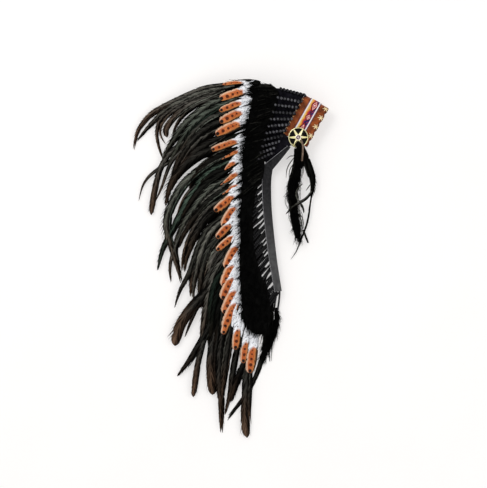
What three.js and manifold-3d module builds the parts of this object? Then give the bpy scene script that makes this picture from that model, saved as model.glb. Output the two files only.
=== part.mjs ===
// Feathered headdress, folded in half along its middle and laid flat on its left side.
// Millimetres, with +Z up from the surface it lies on, +Y towards the crown and +X towards the brow.
// The right half lies on top with its outside up, and the left half lies under it with its outside down.

import * as THREE from "three";
import { mergeVertices } from "three/addons/utils/BufferGeometryUtils.js";
import Module from "manifold-3d";

const wasm = await Module();
wasm.setup();

const { lerp, smoothstep, degToRad } = THREE.MathUtils;
const plan = (x, y) => new THREE.Vector2(x, y);
const raise = (point, z) => new THREE.Vector3(point.x, point.y, z);

// Driving dimensions

const GAP = 0.5; // clearance kept between pieces that rest on each other

// Headband: a leather strip folded round the brow, its crown edge towards the feathers
const BAND_WIDTH = 75;
const BAND_LEG = 118; // from the front fold to the leather's end, each side
const LEATHER = 2.2;
const FOLD_RADIUS = 16.5; // outside of the front fold
const BAND_UNDERSIDE = 9.5; // height of the lower leg's outer face
const BAND_SINK = 7.5; // how far the upper leg sinks from the fold to its end
const FOLD_CENTRE = plan(229, 421); // middle of the front fold
const BAND_SLOPE = degToRad(60.5); // of the band to the X axis
const TRIM_WIDTH = 32;
const TRIM_THICK = 1.2;
const TRIM_OFFSET = -2; // of the trim's middle from the band's, towards the crown
const TRIM_LEG = 106;

// Crown cap and trailer strip, of felt
const FELT = 2;
const CAP_REAR = [plan(134, 456), plan(101, 449), plan(80, 400), plan(73, 335), plan(80, 280)];
const CAP_SIDE = plan(168, 314); // corner of the rim beside the rosette
const NAPE = plan(104, 245);
const NAPE_HEIGHT = 14;
const NAPE_HALF_GAP = 5;
const RIM_ROUND = 20; // length over which the cap's two halves close at the nape
const STRIP_FOLD = [plan(113, 248), plan(108, 212), plan(108, 158), plan(112, 100), plan(123, 0), plan(136, -84)];
const STRIP_WIDTH_TOP = 26;
const STRIP_WIDTH_END = 20;
const BINDING = 1.5;

// Rosette, its stud and backing disc
const ROSETTE_RADIUS = 26.5;
const ROSETTE_RING = 2.5;
const ROSETTE_THICK = 2;
const ROSETTE_ALONG = 108; // from the front fold
const ROSETTE_ACROSS = 4; // from the band's middle, towards the brow edge
const STAR_VALLEY = 8;
const STAR_TIP_HALF_ANGLE = degToRad(4);
const STUD_RADIUS = 7;
const STUD_HEIGHT = 2.7;
const BACKING = 1;

// Quill wraps along the crown edge of the band
const WRAP_COUNT = 11;
const WRAP_RADII = { right: 5.4, left: 4.4 };
const WRAP_PITCH = 17;
const WRAP_FIRST = 6; // from the front fold
const WRAP_LENGTHS = [62, 42]; // first and last
const WRAP_ANGLES = [-15, 24]; // degrees below straight back, first and last

// The spine is the line where the spotted feathers leave the fluff, from the crown's top to the tail
const SPINE = [plan(70, 470), plan(48, 400), plan(38, 310), plan(25, 205), plan(22, 120), plan(24, 20),
  plan(22, -80), plan(34, -150), plan(74, -198)];
const UNIT_COUNT = 24; // feather units along the spine on each half
const CROWN_UNITS = 9; // the first of them stand on the crown, the rest on the trailer
const FIRST_ANGLE = 0; // degrees below straight back at the crown's top
const ANGLE_SWING = 86;
const ANGLE_POWER = 0.85;

// Layers of a feather unit, as heights off the lay surface
const PLUME_LAYER = [0, 2.4];
const SPOTTED_LAYER = [3.3, 4.9];
const QUILL_LAYER = [5.5, 7.7];
const FLUFF_BASE = 8.3;
const FLUFF_THICK = 16;

// Plumes and spotted feathers
const PLUME_LENGTHS = [412, 385, 268]; // at the crown's top, three quarters along and at the tail
const PLUME_TIP_ANGLES = [70, 94]; // degrees below straight back, first and last
const PLUME_CURL = 1.5;
const PLUME_WIDTHS = [11, 25, 26, 17, 4];
const PLUME_FALL = 300; // distance from the spine over which plumes come down to the surface
const SPOTTED_LENGTH = 105;
const SPOTTED_WIDTHS = [12, 25, 25, 7];
const ROOT_BACK = 9; // how far a feather starts behind the spine
const BACKING_WIDTH = 12;

// Drop beside the face and tail drop
const FUR_PATH = [plan(180, 311), plan(180, 297), plan(179, 266), plan(171, 212), plan(171, 146), plan(178, 92),
  plan(177, 46)];
const FUR_WIDTHS = [14, 20, 27, 36, 30, 24, 12];
const FUR_THICK = 13;
const FUR_HEIGHTS = [45.5, 46.5, 33, 21.5, 21, 20.5, 19]; // of the upper drop, which hangs over the rosette's edge
const CORD_DIAMETER = 5.2;
const TAIL_PATH = [plan(121.5, -141), plan(121.5, -168), plan(104, -215), plan(86, -260), plan(70, -305), plan(45, -355),
  plan(-8, -425)];
const TAIL_WIDTHS = [18, 27, 22, 16, 10, 8, 3];
const TAIL_THICKS = [9, 10, 5, 3.4, 2.6, 2.4, 1.6];

// The two halves: which way their outside faces, the lay height at the crown and along the trailer,
// the height that plume tips reach, and how many units one modelled feather stands for
const RIGHT = { name: "right", out: 1, crownLay: 35, trailerLay: 14.6, tipLay: 5.6, every: 1 };
const LEFT = { name: "left", out: -1, crownLay: 13.4, trailerLay: 13.4, tipLay: 3.2, every: 3 };

// Materials

const finish = (color, roughness, metalness = 0) => new THREE.MeshStandardMaterial({ color, roughness, metalness });
const LEATHER_BROWN = finish(0x7a3c1c, 0.6);
const TRIM_WEAVE = finish(0xc8803c, 0.85);
const BLACK_FELT = finish(0x17171a, 0.95);
const GREY_FELT = finish(0x3c3c3e, 0.9);
const GOLD = finish(0xc9b765, 0.28, 1);
const ROSE_METAL = finish(0xc8a8a0, 0.2, 1);
const BLACK_CORD = finish(0x101014, 0.6);
const BLACK_DOWN = finish(0x08080a, 0.9);
const PLUME_DARK = finish(0x2a2c26, 0.5);
const SPOTTED_ORANGE = finish(0xc0683a, 0.7);
const THONG_TAN = finish(0x8a6a52, 0.7);

// Solids

// Turns a closed geometry into a solid that can be joined or cut.
function solidFrom(geometry) {
  const bare = new THREE.BufferGeometry();
  bare.setAttribute("position", geometry.getAttribute("position"));
  bare.setIndex(geometry.getIndex());
  const merged = mergeVertices(bare, 1e-4);
  return new wasm.Manifold(new wasm.Mesh({
    numProp: 3,
    vertProperties: merged.getAttribute("position").array,
    triVerts: new Uint32Array(merged.getIndex().array),
  }));
}

function geometryFrom(solid) {
  const { numProp, numVert, vertProperties, triVerts } = solid.getMesh();
  const positions = new Float32Array(numVert * 3);
  for (let i = 0; i < numVert; i++)
    positions.set(vertProperties.subarray(i * numProp, i * numProp + 3), i * 3);
  const geometry = new THREE.BufferGeometry();
  geometry.setAttribute("position", new THREE.BufferAttribute(positions, 3));
  geometry.setIndex(new THREE.BufferAttribute(triVerts, 1));
  geometry.computeVertexNormals();
  return geometry;
}

const fuse = (geometries) => geometryFrom(geometries.map(solidFrom).reduce((a, b) => a.add(b)));

// Six times the volume inside a triangle mesh, negative where its faces point inwards.
function signedVolume(points, faces) {
  return faces.reduce((sum, [a, b, c]) => sum + points[a].dot(points[b].clone().cross(points[c])), 0);
}

function closedGeometry(points, faces) {
  const turned = signedVolume(points, faces) < 0 ? faces.map(([a, b, c]) => [a, c, b]) : faces;
  const geometry = new THREE.BufferGeometry().setFromPoints(points);
  geometry.setIndex(turned.flat());
  geometry.computeVertexNormals();
  return geometry;
}

// Triangles over the flat end ring of a loft, all turned the same way.
function capFaces(ring) {
  const normal = new THREE.Vector3();
  ring.forEach((p, i) => normal.add(p.clone().cross(ring[(i + 1) % ring.length])));
  const turn = new THREE.Quaternion().setFromUnitVectors(normal.normalize(), new THREE.Vector3(0, 0, 1));
  const flat = ring.map((p) => p.clone().applyQuaternion(turn)).map((p) => plan(p.x, p.y));
  return THREE.ShapeUtils.triangulateShape(flat, []);
}

// A closed solid through rings of points, each ring with the same number of points.
function loft(rings) {
  const count = rings[0].length;
  const faces = [];
  for (let r = 0; r + 1 < rings.length; r++)
    for (let i = 0; i < count; i++) {
      const a = r * count + i;
      const b = r * count + ((i + 1) % count);
      faces.push([a, b, b + count], [a, b + count, a + count]);
    }
  const last = (rings.length - 1) * count;
  capFaces(rings[0]).forEach(([a, b, c]) => faces.push([a, c, b]));
  capFaces(rings.at(-1)).forEach(([a, b, c]) => faces.push([a + last, b + last, c + last]));
  return closedGeometry(rings.flat(), faces);
}

// Unit vector to the left of a path in plan, at one of its points.
function leftOf(points, i) {
  const before = points[Math.max(i - 1, 0)];
  const after = points[Math.min(i + 1, points.length - 1)];
  return plan(before.y - after.y, after.x - before.x).normalize();
}

// A loft along a path of 3-D points, with a section of [across, up] pairs at each of them.
function sweep(path, sectionAt) {
  return loft(path.map((p, i) => {
    const left = leftOf(path, i);
    return sectionAt(i).map(([across, up]) =>
      new THREE.Vector3(p.x + left.x * across, p.y + left.y * across, p.z + up));
  }));
}

// A feather or strip: a lens-shaped section along a path.
const blade = (path, widths, thick) => sweep(path, (i) =>
  [[-widths[i] / 2, 0], [0, -thick / 2], [widths[i] / 2, 0], [0, thick / 2]]);

// A lock of down: a section with a keel at its base and a flattened outside that faces up or down.
const lock = (path, widths, thicks, out) => sweep(path, (i) => [
  [0, 0], [widths[i] / 2, out * 0.4 * thicks[i]], [widths[i] / 4, out * thicks[i]],
  [-widths[i] / 4, out * thicks[i]], [-widths[i] / 2, out * 0.4 * thicks[i]],
]);

function piece(name, geometry, material) {
  const mesh = new THREE.Mesh(geometry, material);
  mesh.name = name;
  return mesh;
}

// Values in a list read at a share of the way along it.
function along(values, share) {
  const place = THREE.MathUtils.clamp(share, 0, 1) * (values.length - 1);
  const i = Math.min(Math.floor(place), values.length - 2);
  return lerp(values[i], values[i + 1], place - i);
}

// Band frame: u runs back along the band from the front fold, v across it towards the brow edge

const BAND_BACK = plan(-Math.cos(BAND_SLOPE), -Math.sin(BAND_SLOPE));
const BAND_DOWN = plan(Math.sin(BAND_SLOPE), -Math.cos(BAND_SLOPE));
const onBand = (u, v) => FOLD_CENTRE.clone().addScaledVector(BAND_BACK, u).addScaledVector(BAND_DOWN, v);
const alongBand = (point) => point.clone().sub(FOLD_CENTRE).dot(BAND_BACK);

const BAND_MIDDLE_HEIGHT = BAND_UNDERSIDE + FOLD_RADIUS;
const RIM_LENGTH = alongBand(NAPE);

// Height of the middle between the two halves, and half the distance between their outsides,
// at a distance back from the front fold.
function middleAt(u) {
  if (u < FOLD_RADIUS) return BAND_MIDDLE_HEIGHT;
  if (u < BAND_LEG) return BAND_MIDDLE_HEIGHT - (BAND_SINK / 2) * ((u - FOLD_RADIUS) / (BAND_LEG - FOLD_RADIUS));
  return lerp(BAND_MIDDLE_HEIGHT - BAND_SINK / 2, NAPE_HEIGHT, (u - BAND_LEG) / (RIM_LENGTH - BAND_LEG));
}

function halfDepthAt(u) {
  if (u < BAND_LEG) return middleAt(u) - BAND_UNDERSIDE;
  return lerp(middleAt(BAND_LEG) - BAND_UNDERSIDE, NAPE_HALF_GAP, (u - BAND_LEG) / (RIM_LENGTH - BAND_LEG));
}

// Share of the full depth left near a rounded end, at a distance from that end.
const roundOff = (distance, radius) =>
  distance >= radius ? 1 : Math.sqrt(Math.max(0, 1 - (1 - distance / radius) ** 2));

const topAt = (u) => middleAt(u) + halfDepthAt(u) * roundOff(u, FOLD_RADIUS);

// A strip of the given thickness that runs round the front fold, standing off the leather's outside.
function foldedStrip(name, standoff, thick, leg, width, middle, material) {
  const outer = FOLD_RADIUS + standoff + thick;
  const inner = FOLD_RADIUS + standoff;
  const sink = BAND_SINK * ((leg - FOLD_RADIUS) / (BAND_LEG - FOLD_RADIUS));
  const profile = new THREE.Shape();
  profile.moveTo(leg, BAND_MIDDLE_HEIGHT - outer);
  profile.lineTo(FOLD_RADIUS, BAND_MIDDLE_HEIGHT - outer);
  profile.absarc(FOLD_RADIUS, BAND_MIDDLE_HEIGHT, outer, -Math.PI / 2, Math.PI / 2, true);
  profile.lineTo(leg, BAND_MIDDLE_HEIGHT + outer - sink);
  profile.lineTo(leg, BAND_MIDDLE_HEIGHT + inner - sink);
  profile.lineTo(FOLD_RADIUS, BAND_MIDDLE_HEIGHT + inner);
  profile.absarc(FOLD_RADIUS, BAND_MIDDLE_HEIGHT, inner, Math.PI / 2, -Math.PI / 2, false);
  profile.lineTo(leg, BAND_MIDDLE_HEIGHT - inner);
  const geometry = new THREE.ExtrudeGeometry(profile, { depth: width, bevelEnabled: false, curveSegments: 10 });
  const mesh = piece(name, geometry, material);
  const start = onBand(0, middle + width / 2);
  mesh.applyMatrix4(new THREE.Matrix4()
    .makeBasis(raise(BAND_BACK, 0), new THREE.Vector3(0, 0, 1), raise(BAND_DOWN, 0).negate())
    .setPosition(raise(start, 0)));
  return mesh;
}

const headband = () =>
  foldedStrip("headband", -LEATHER, LEATHER, BAND_LEG, BAND_WIDTH, 0, LEATHER_BROWN);
const wovenTrim = () =>
  foldedStrip("woven_trim", GAP, TRIM_THICK, TRIM_LEG, TRIM_WIDTH, TRIM_OFFSET, TRIM_WEAVE);

// Crown cap: a hollow felt pouch, flattened, closed at the top and rear and open along the rim

const CROWN_EDGE = -BAND_WIDTH / 2 - GAP; // the cap meets the band's crown edge
const RIM_STEPS = [9, 2, 6]; // along the band, round its end and on to the nape
const CAP_LINES = [0, 0.55, 0.82, 0.95, 1]; // from the rim to the closed edge
const CAP_FULLNESS = 6; // how squarely the pouch closes at its rear edge

function crownCap() {
  const rimCorners = (inset) => [onBand(inset, CROWN_EDGE), onBand(BAND_LEG + GAP, CROWN_EDGE), CAP_SIDE,
    NAPE.clone().addScaledVector(BAND_BACK, -inset)];
  const rimAt = (inset) => RIM_STEPS.flatMap((steps, k) => {
    const [from, to] = rimCorners(inset).slice(k, k + 2);
    return Array.from({ length: steps }, (_, i) => from.clone().lerp(to, (i / steps) ** (k === 0 ? 1.5 : 1)));
  }).concat([rimCorners(inset)[3]]);
  const rearAt = (inset) => {
    const middle = rimCorners(0)[1];
    const drawnIn = CAP_REAR.map((p) => p.clone().lerp(middle, inset / p.distanceTo(middle)));
    const curve = new THREE.SplineCurve([rimCorners(inset)[0], ...drawnIn, rimCorners(inset)[3]]);
    const count = RIM_STEPS.reduce((a, b) => a + b);
    return curve.getSpacedPoints(count);
  };
  // One skin of the pouch, as rows of points from the upper rim over the closed edge to the lower rim.
  const skin = (inset) => {
    const rim = rimAt(inset);
    return rearAt(inset).map((rear, i) => {
      const u = alongBand(rim[i]);
      const depth = (halfDepthAt(u) - inset) * roundOff(u - inset, FOLD_RADIUS - inset)
        * roundOff(RIM_LENGTH - inset - u, RIM_ROUND - inset);
      const half = (out) => CAP_LINES.map((r) => raise(rim[i].clone().lerp(rear, r),
        middleAt(u) + out * depth * Math.sqrt(1 - r ** CAP_FULLNESS)));
      return [...half(1), ...half(-1).reverse().slice(1)];
    });
  };
  const outer = skin(0);
  const inner = skin(FELT);
  const rows = outer.length;
  const columns = outer[0].length;
  const points = [...outer.flat(), ...inner.flat()];
  const inside = rows * columns;
  const faces = [];
  const quad = (a, b, c, d) => faces.push([a, b, c], [a, c, d]);
  for (let r = 0; r + 1 < rows; r++) {
    for (let c = 0; c + 1 < columns; c++) {
      const a = r * columns + c;
      const b = a + columns;
      quad(a, a + 1, b + 1, b);
      quad(inside + a, inside + b, inside + b + 1, inside + a + 1);
    }
    for (const [c, turn] of [[0, false], [columns - 1, true]]) {
      const a = r * columns + c;
      const b = a + columns;
      if (turn) quad(a, inside + a, inside + b, b);
      else quad(a, b, inside + b, inside + a);
    }
  }
  return piece("crown_cap", weldedGeometry(points, faces), BLACK_FELT);
}

// A closed geometry whose coincident points are merged and whose collapsed faces are dropped.
function weldedGeometry(points, faces) {
  const merged = mergeVertices(closedGeometry(points, faces).deleteAttribute("normal"), 1e-3);
  const index = [...merged.getIndex().array];
  const kept = [];
  for (let i = 0; i < index.length; i += 3) {
    const [a, b, c] = index.slice(i, i + 3);
    if (a !== b && b !== c && c !== a) kept.push(a, b, c);
  }
  merged.setIndex(kept);
  return merged;
}

// Rim binding: a felt strip on the cap's outside, from the rosette to the nape

function rimBinding(half) {
  const outer = [plan(158, 301), plan(136, 274), plan(118, 258)];
  const inner = [plan(150, 306), plan(122, 284), plan(97, 266)];
  const edge = (p, step) => {
    const u = alongBand(p) - 14; // the cap's skin here is as deep as its rim a little further forward
    const face = middleAt(u) + half.out * (halfDepthAt(u) * roundOff(RIM_LENGTH - u, RIM_ROUND) + GAP);
    return raise(p, face + half.out * step * BINDING);
  };
  const rings = outer.map((p, i) => [edge(p, 0), edge(p, 1), edge(inner[i], 1), edge(inner[i], 0)]);
  return piece(`${half.name}_rim_binding`, loft(rings), GREY_FELT);
}

// Trailer strip: felt folded lengthwise over the quills

const STRIP_MIDDLE = (RIGHT.trailerLay + LEFT.trailerLay) / 2;
const STRIP_HALF_DEPTH = RIGHT.trailerLay + QUILL_LAYER[1] + GAP + FELT - STRIP_MIDDLE;
const STRIP_CURVE = new THREE.SplineCurve(STRIP_FOLD);

function trailerStrip() {
  const steps = 8;
  const arcSteps = 6;
  const path = STRIP_CURVE.getSpacedPoints(steps).map((p) => raise(p, STRIP_MIDDLE));
  const turn = (radius) => Array.from({ length: arcSteps + 1 }, (_, i) => {
    const angle = Math.PI / 2 + (Math.PI * i) / arcSteps;
    return [-STRIP_HALF_DEPTH - radius * Math.cos(angle), radius * Math.sin(angle)];
  });
  const section = (i) => {
    const width = lerp(STRIP_WIDTH_TOP, STRIP_WIDTH_END, i / steps);
    const inner = STRIP_HALF_DEPTH - FELT;
    const outerArc = turn(STRIP_HALF_DEPTH);
    const innerArc = turn(inner).reverse();
    return [[-width, STRIP_HALF_DEPTH], ...outerArc, [-width, -STRIP_HALF_DEPTH], [-width, -inner], ...innerArc,
      [-width, inner]];
  };
  return piece("trailer_strip", sweep(path, section), GREY_FELT);
}

// Rosettes: a pierced metal disc with a star, on a backing disc, held by a domed stud

function rosetteShape() {
  const arc = (radius, from, to, steps) => Array.from({ length: steps + 1 }, (_, i) =>
    plan(Math.cos(lerp(from, to, i / steps)), Math.sin(lerp(from, to, i / steps))).multiplyScalar(radius));
  const disc = new THREE.Shape(arc(ROSETTE_RADIUS, 0, 2 * Math.PI, 36).slice(1));
  const ringInside = ROSETTE_RADIUS - ROSETTE_RING;
  const points = 6;
  for (let k = 0; k < points; k++) {
    const from = ((k + 0.5) * 2 * Math.PI) / points + STAR_TIP_HALF_ANGLE;
    const to = ((k + 1.5) * 2 * Math.PI) / points - STAR_TIP_HALF_ANGLE;
    const valley = (from + to) / 2;
    const cut = [...arc(ringInside, from, to, 4), ...arc(STAR_VALLEY, valley, valley, 1).slice(1)];
    disc.holes.push(new THREE.Path(cut));
  }
  return disc;
}

function rosette(half) {
  const centre = onBand(ROSETTE_ALONG, ROSETTE_ACROSS);
  const outside = half.out > 0 ? topAt(ROSETTE_ALONG) : BAND_UNDERSIDE;
  const tilt = half.out > 0 ? Math.atan2(BAND_SINK, BAND_LEG - FOLD_RADIUS) : 0;
  const group = new THREE.Group();
  const out = raise(BAND_BACK, 0).multiplyScalar(Math.sin(tilt)).add(new THREE.Vector3(0, 0, Math.cos(tilt) * half.out));
  const forward = raise(BAND_DOWN, 0);
  group.applyMatrix4(new THREE.Matrix4()
    .makeBasis(forward, out.clone().cross(forward), out)
    .setPosition(raise(centre, outside + half.out * (TRIM_THICK + 2 * GAP))));

  const disc = new THREE.CylinderGeometry(ROSETTE_RADIUS - 1, ROSETTE_RADIUS - 1, BACKING, 24).rotateX(Math.PI / 2);
  const backing = piece(`${half.name}_rosette_backing`, disc, BLACK_FELT);
  backing.position.z = BACKING / 2;

  const metal = new THREE.ExtrudeGeometry(rosetteShape(), { depth: ROSETTE_THICK, bevelEnabled: false });
  const wheel = piece(`${half.name}_rosette`, metal, GOLD);
  wheel.position.z = BACKING + GAP;

  const dome = [[0, 0], [STUD_RADIUS, 0], [STUD_RADIUS, 0.35], [0.75, 0.8], [0, 1]]
    .map(([r, h], i) => plan(i > 2 ? r * STUD_RADIUS : r, h * STUD_HEIGHT));
  const stud = piece(`${half.name}_rosette_stud`, new THREE.LatheGeometry(dome, 14).rotateX(Math.PI / 2), ROSE_METAL);
  stud.position.z = BACKING + ROSETTE_THICK + 2 * GAP;

  group.add(backing, wheel, stud);
  return group;
}

// Quill wraps: cord wound round each quill where it leaves the band

function quillWraps(half) {
  const radius = WRAP_RADII[half.name];
  return Array.from({ length: WRAP_COUNT }, (_, j) => {
    const share = j / (WRAP_COUNT - 1);
    const u = WRAP_FIRST + j * WRAP_PITCH;
    const length = lerp(...WRAP_LENGTHS, share);
    const angle = degToRad(lerp(...WRAP_ANGLES, share));
    const start = onBand(u, CROWN_EDGE - GAP - radius * 0.5);
    const outside = topAt(Math.max(u - WRAP_PITCH, FOLD_RADIUS));
    const middle = start.addScaledVector(plan(-Math.cos(angle), -Math.sin(angle)), length / 2);
    const height = half.out > 0 ? outside + GAP + radius : radius;
    const tube = new THREE.CylinderGeometry(radius * 0.85, radius, length, 8);
    const wrap = piece(`${half.name}_quill_wrap_${String(j + 1).padStart(2, "0")}`, tube, BLACK_CORD);
    wrap.position.copy(raise(middle, height));
    wrap.rotation.z = Math.PI / 2 + angle;
    return wrap;
  });
}

// Feather units

const SPINE_CURVE = new THREE.SplineCurve(SPINE);
const SPINE_SAMPLES = SPINE_CURVE.getSpacedPoints(60);
const unitShare = (i) => Math.min(i / (UNIT_COUNT - 1), 1);
const unitRoot = (i) => SPINE_CURVE.getPointAt(unitShare(i));
const unitAngle = (share) => FIRST_ANGLE + ANGLE_SWING * share ** ANGLE_POWER;
const heading = (degrees) => plan(-Math.cos(degToRad(degrees)), -Math.sin(degToRad(degrees)));

// Height of the surface that a half's plumes lie on: high at the crown, lower along the trailer,
// and down to the tips with the distance beyond the spine.
function layHeight(point, half) {
  let nearest = 0;
  SPINE_SAMPLES.forEach((p, i) => {
    if (p.distanceTo(point) < SPINE_SAMPLES[nearest].distanceTo(point)) nearest = i;
  });
  const share = nearest / (SPINE_SAMPLES.length - 1);
  const left = leftOf(SPINE_SAMPLES, nearest).negate();
  const away = point.clone().sub(SPINE_SAMPLES[nearest]);
  const beyond = away.dot(left) > 0 ? away.length() : 0;
  const root = lerp(half.crownLay, half.trailerLay, smoothstep(share, 0.03, 0.42));
  return lerp(root, half.tipLay, smoothstep(beyond, 0, PLUME_FALL));
}

const layerMiddle = (point, half, layer) =>
  raise(point, layHeight(point, half) + half.out * (layer[0] + layer[1]) / 2);
const layerThick = (layer) => layer[1] - layer[0];

// Plan points of a feather that leaves the spine at one angle and ends at another.
function featherLine(root, startAngle, endAngle, length, stations) {
  const fine = 40;
  const points = [root.clone()];
  for (let k = 0; k < fine; k++) {
    const angle = lerp(startAngle, endAngle, ((k + 0.5) / fine) ** PLUME_CURL);
    points.push(points[k].clone().addScaledVector(heading(angle), length / fine));
  }
  return Array.from({ length: stations }, (_, i) => points[Math.round((i / (stations - 1)) * fine)]);
}

const REGIONS = { crown: [0, CROWN_UNITS - 1], trailer: [CROWN_UNITS, UNIT_COUNT - 1] };

function unitsOf(half, region) {
  const [first, last] = REGIONS[region];
  return Array.from({ length: last - first + 1 }, (_, k) => first + k).filter((i) => i % half.every === 0);
}

// Feathers of one layer on one region of a half, fused to a strip along the spine.
function featherRow(half, region, layer, featherAt, widths) {
  const units = unitsOf(half, region);
  const back = units.map((i) => layerMiddle(unitRoot(i), half, layer));
  const strip = blade(back, back.map(() => BACKING_WIDTH), layerThick(layer));
  const feathers = units.map((i) => {
    const share = unitShare(i);
    const root = unitRoot(i).addScaledVector(heading(unitAngle(share)), -ROOT_BACK);
    const level = ((i / half.every) % 2 === 0 ? 1 : -1) * layerThick(layer) * 0.26; // neighbours overlap like shingles
    const line = featherAt(root, share, i).map((p) => layerMiddle(p, half, layer)).map((p) => p.setZ(p.z + level));
    return blade(line, widths, layerThick(layer) * 0.46);
  });
  return fuse([strip, ...feathers]);
}

// Long tail plumes that curve down from each unit.
function plumes(half, region) {
  const plumeAt = (root, share, i) => {
    const sway = 0.06 * Math.sin(2.4 * i);
    const length = lerp(1, 0.86, Math.abs(Math.sin(1.7 * i)) * (share > 0 && share < 1 ? 1 : 0))
      * (share < 0.75 ? along(PLUME_LENGTHS.slice(0, 2), share / 0.75) : along(PLUME_LENGTHS.slice(1), (share - 0.75) * 4));
    const endAngle = lerp(...PLUME_TIP_ANGLES, share) * (1 + sway);
    return featherLine(root, unitAngle(share), endAngle, length, PLUME_WIDTHS.length);
  };
  return piece(`${half.name}_${region}_plumes`,
    featherRow(half, region, PLUME_LAYER, plumeAt, PLUME_WIDTHS), PLUME_DARK);
}

// Spotted feathers, white at the base, on top of the plumes.
function spottedFeathers(half, region) {
  const spottedAt = (root, share) => featherLine(root, unitAngle(share), unitAngle(share) + 5,
    SPOTTED_LENGTH + ROOT_BACK, SPOTTED_WIDTHS.length);
  return piece(`${half.name}_${region}_spotted_feathers`,
    featherRow(half, region, SPOTTED_LAYER, spottedAt, SPOTTED_WIDTHS), SPOTTED_ORANGE);
}

// Length of the fluff behind the spine: shortest at the nape, longer again down the trailer.
const fluffLength = (share) => (share < 0.42 ? 62 - 75 * share : Math.min(42 + 180 * (share - 0.42), 105));

// The last lock hangs beside the end of the strip.
const TAIL_LOCK = [plan(89, -66), plan(91, -105), plan(90, -150), plan(80, -198)];

// Black down over the roots: overlapping locks on a padded strip.
function fluff(half, region) {
  const reach = 14; // how far the down comes out over the feather bases
  const base = (point) => raise(point, layHeight(point, half) + half.out * FLUFF_BASE);
  const thickAt = (p) => (half.out > 0 ? FLUFF_THICK : p.z);
  const lineAt = (i) => {
    const share = unitShare(i);
    const ahead = heading(unitAngle(share));
    const end = unitRoot(i).addScaledVector(ahead, reach);
    const length = fluffLength(share) + reach;
    return [1, 0.72, 0.3, 0].map((back) => base(end.clone().addScaledVector(ahead, -back * length)));
  };
  const units = unitsOf(half, region).filter((i) => i % (2 * half.every) === 0);
  const locks = units.map(lineAt).map((line) =>
    lock(line, [22, 42, 42, 14], line.map((p, k) => [0.5, 1, 1, 0.3][k] * thickAt(p)), half.out));
  if (region === "trailer") {
    const tail = TAIL_LOCK.map(base);
    locks.push(lock(tail, [20, 46, 46, 16], tail.map((p, k) => [0.5, 1, 1, 0.3][k] * thickAt(p)), half.out));
  }
  const [first, last] = REGIONS[region];
  const ends = [Math.max(first - 0.1, 0), Math.min(last + 0.4, UNIT_COUNT - 1)];
  const stations = Array.from({ length: 6 }, (_, k) => lineAt(lerp(...ends, k / 5)));
  const spread = stations.map(([back, , , front]) => 0.75 * Math.min(back.distanceTo(front), 64));
  const middle = stations.map(([, back, front]) => back.clone().lerp(front, 0.5));
  const pad = lock(middle, spread, middle.map((p) => 0.9 * thickAt(p)), half.out);
  return piece(`${half.name}_${region}_fluff`, fuse([pad, ...locks]), BLACK_DOWN);
}

// Bare quills from the folded strip to the fluff, on a strip inside the fold.
function trailerQuills(half) {
  const quillWidth = 7;
  const inFold = 15; // how far inside the fold's edge their strip lies
  const at = (point) => raise(point, half.out > 0
    ? half.trailerLay + (QUILL_LAYER[0] + QUILL_LAYER[1]) / 2 : half.trailerLay - (QUILL_LAYER[0] + QUILL_LAYER[1]) / 2);
  const foldLine = STRIP_CURVE.getSpacedPoints(16);
  const seat = foldLine.map((p, k) => p.clone().addScaledVector(leftOf(foldLine, k), -inFold));
  const thick = layerThick(QUILL_LAYER);
  const seated = seat.slice(2, 15);
  const strip = blade(seated.map(at), seated.map(() => 8), thick);
  const quills = unitsOf(half, "trailer").slice(1).map((i) => {
    const end = unitRoot(i);
    const back = heading(unitAngle(unitShare(i))).negate();
    // The quill starts where its line back from the spine reaches the strip in the fold.
    const start = seated.reduce((best, p) => {
      const miss = (q) => Math.abs(q.clone().sub(end).cross(back));
      return miss(p) < miss(best) ? p : best;
    });
    return blade([start, end].map(at), [quillWidth, quillWidth * 0.7], thick);
  });
  return piece(`${half.name}_trailer_quills`, fuse([strip, ...quills]), BLACK_CORD);
}

// Drops beside the face

// The upper drop falls from the rosette on to the lower one, which lies on the surface a little further back
// and starts below its rosette's edge.
function furDrop(half) {
  const first = half.out > 0 ? 0 : 1;
  const thickAt = (k) => Math.min(FUR_THICK, 0.62 * FUR_WIDTHS[k]);
  const line = FUR_PATH.slice(first).map((p, i) => (half.out > 0
    ? raise(p, FUR_HEIGHTS[i]) : raise(p.clone().add(plan(-6, 0)), thickAt(i + first) / 2)));
  const section = (i) => Array.from({ length: 8 }, (_, k) => {
    const angle = (k / 8) * 2 * Math.PI + Math.PI / 8;
    const width = FUR_WIDTHS[i + first];
    return [(width / 2) * Math.cos(angle), (thickAt(i + first) / 2) * Math.sin(angle) / Math.cos(Math.PI / 8)];
  });
  return piece(`${half.name}_fur_drop`, sweep(line, section), BLACK_DOWN);
}

// Slim plumes that hang with the fur: one beside it and, on the upper drop, one lying across it.
function dropPlumes(half) {
  const beside = half.out > 0
    ? [[196, 289, 30], [215, 235, 20], [221, 205, 16], [213, 150, 12], [206, 93, 9], [197, 58, 7], [164, 2, 4]]
    : [[204, 286, 4], [216, 235, 3], [225, 190, 3], [222, 140, 3], [213, 90, 3]];
  const across = [[219, 196, 15.5], [208, 176, 24], [190, 158, 30], [168, 140, 31], [146, 122, 26]];
  const toPath = (points) => points.map(([x, y, z]) => new THREE.Vector3(x, y, z));
  const vane = (points) => points.map((_, i) => [5, 9, 10, 9, 7, 5, 2.5].at(i - points.length));
  const slim = (points) => blade(toPath(points), vane(points), 2);
  const vanes = half.out > 0 ? [beside, across] : [beside];
  return piece(`${half.name}_drop_plumes`, fuse(vanes.map(slim)), PLUME_DARK);
}

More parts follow.
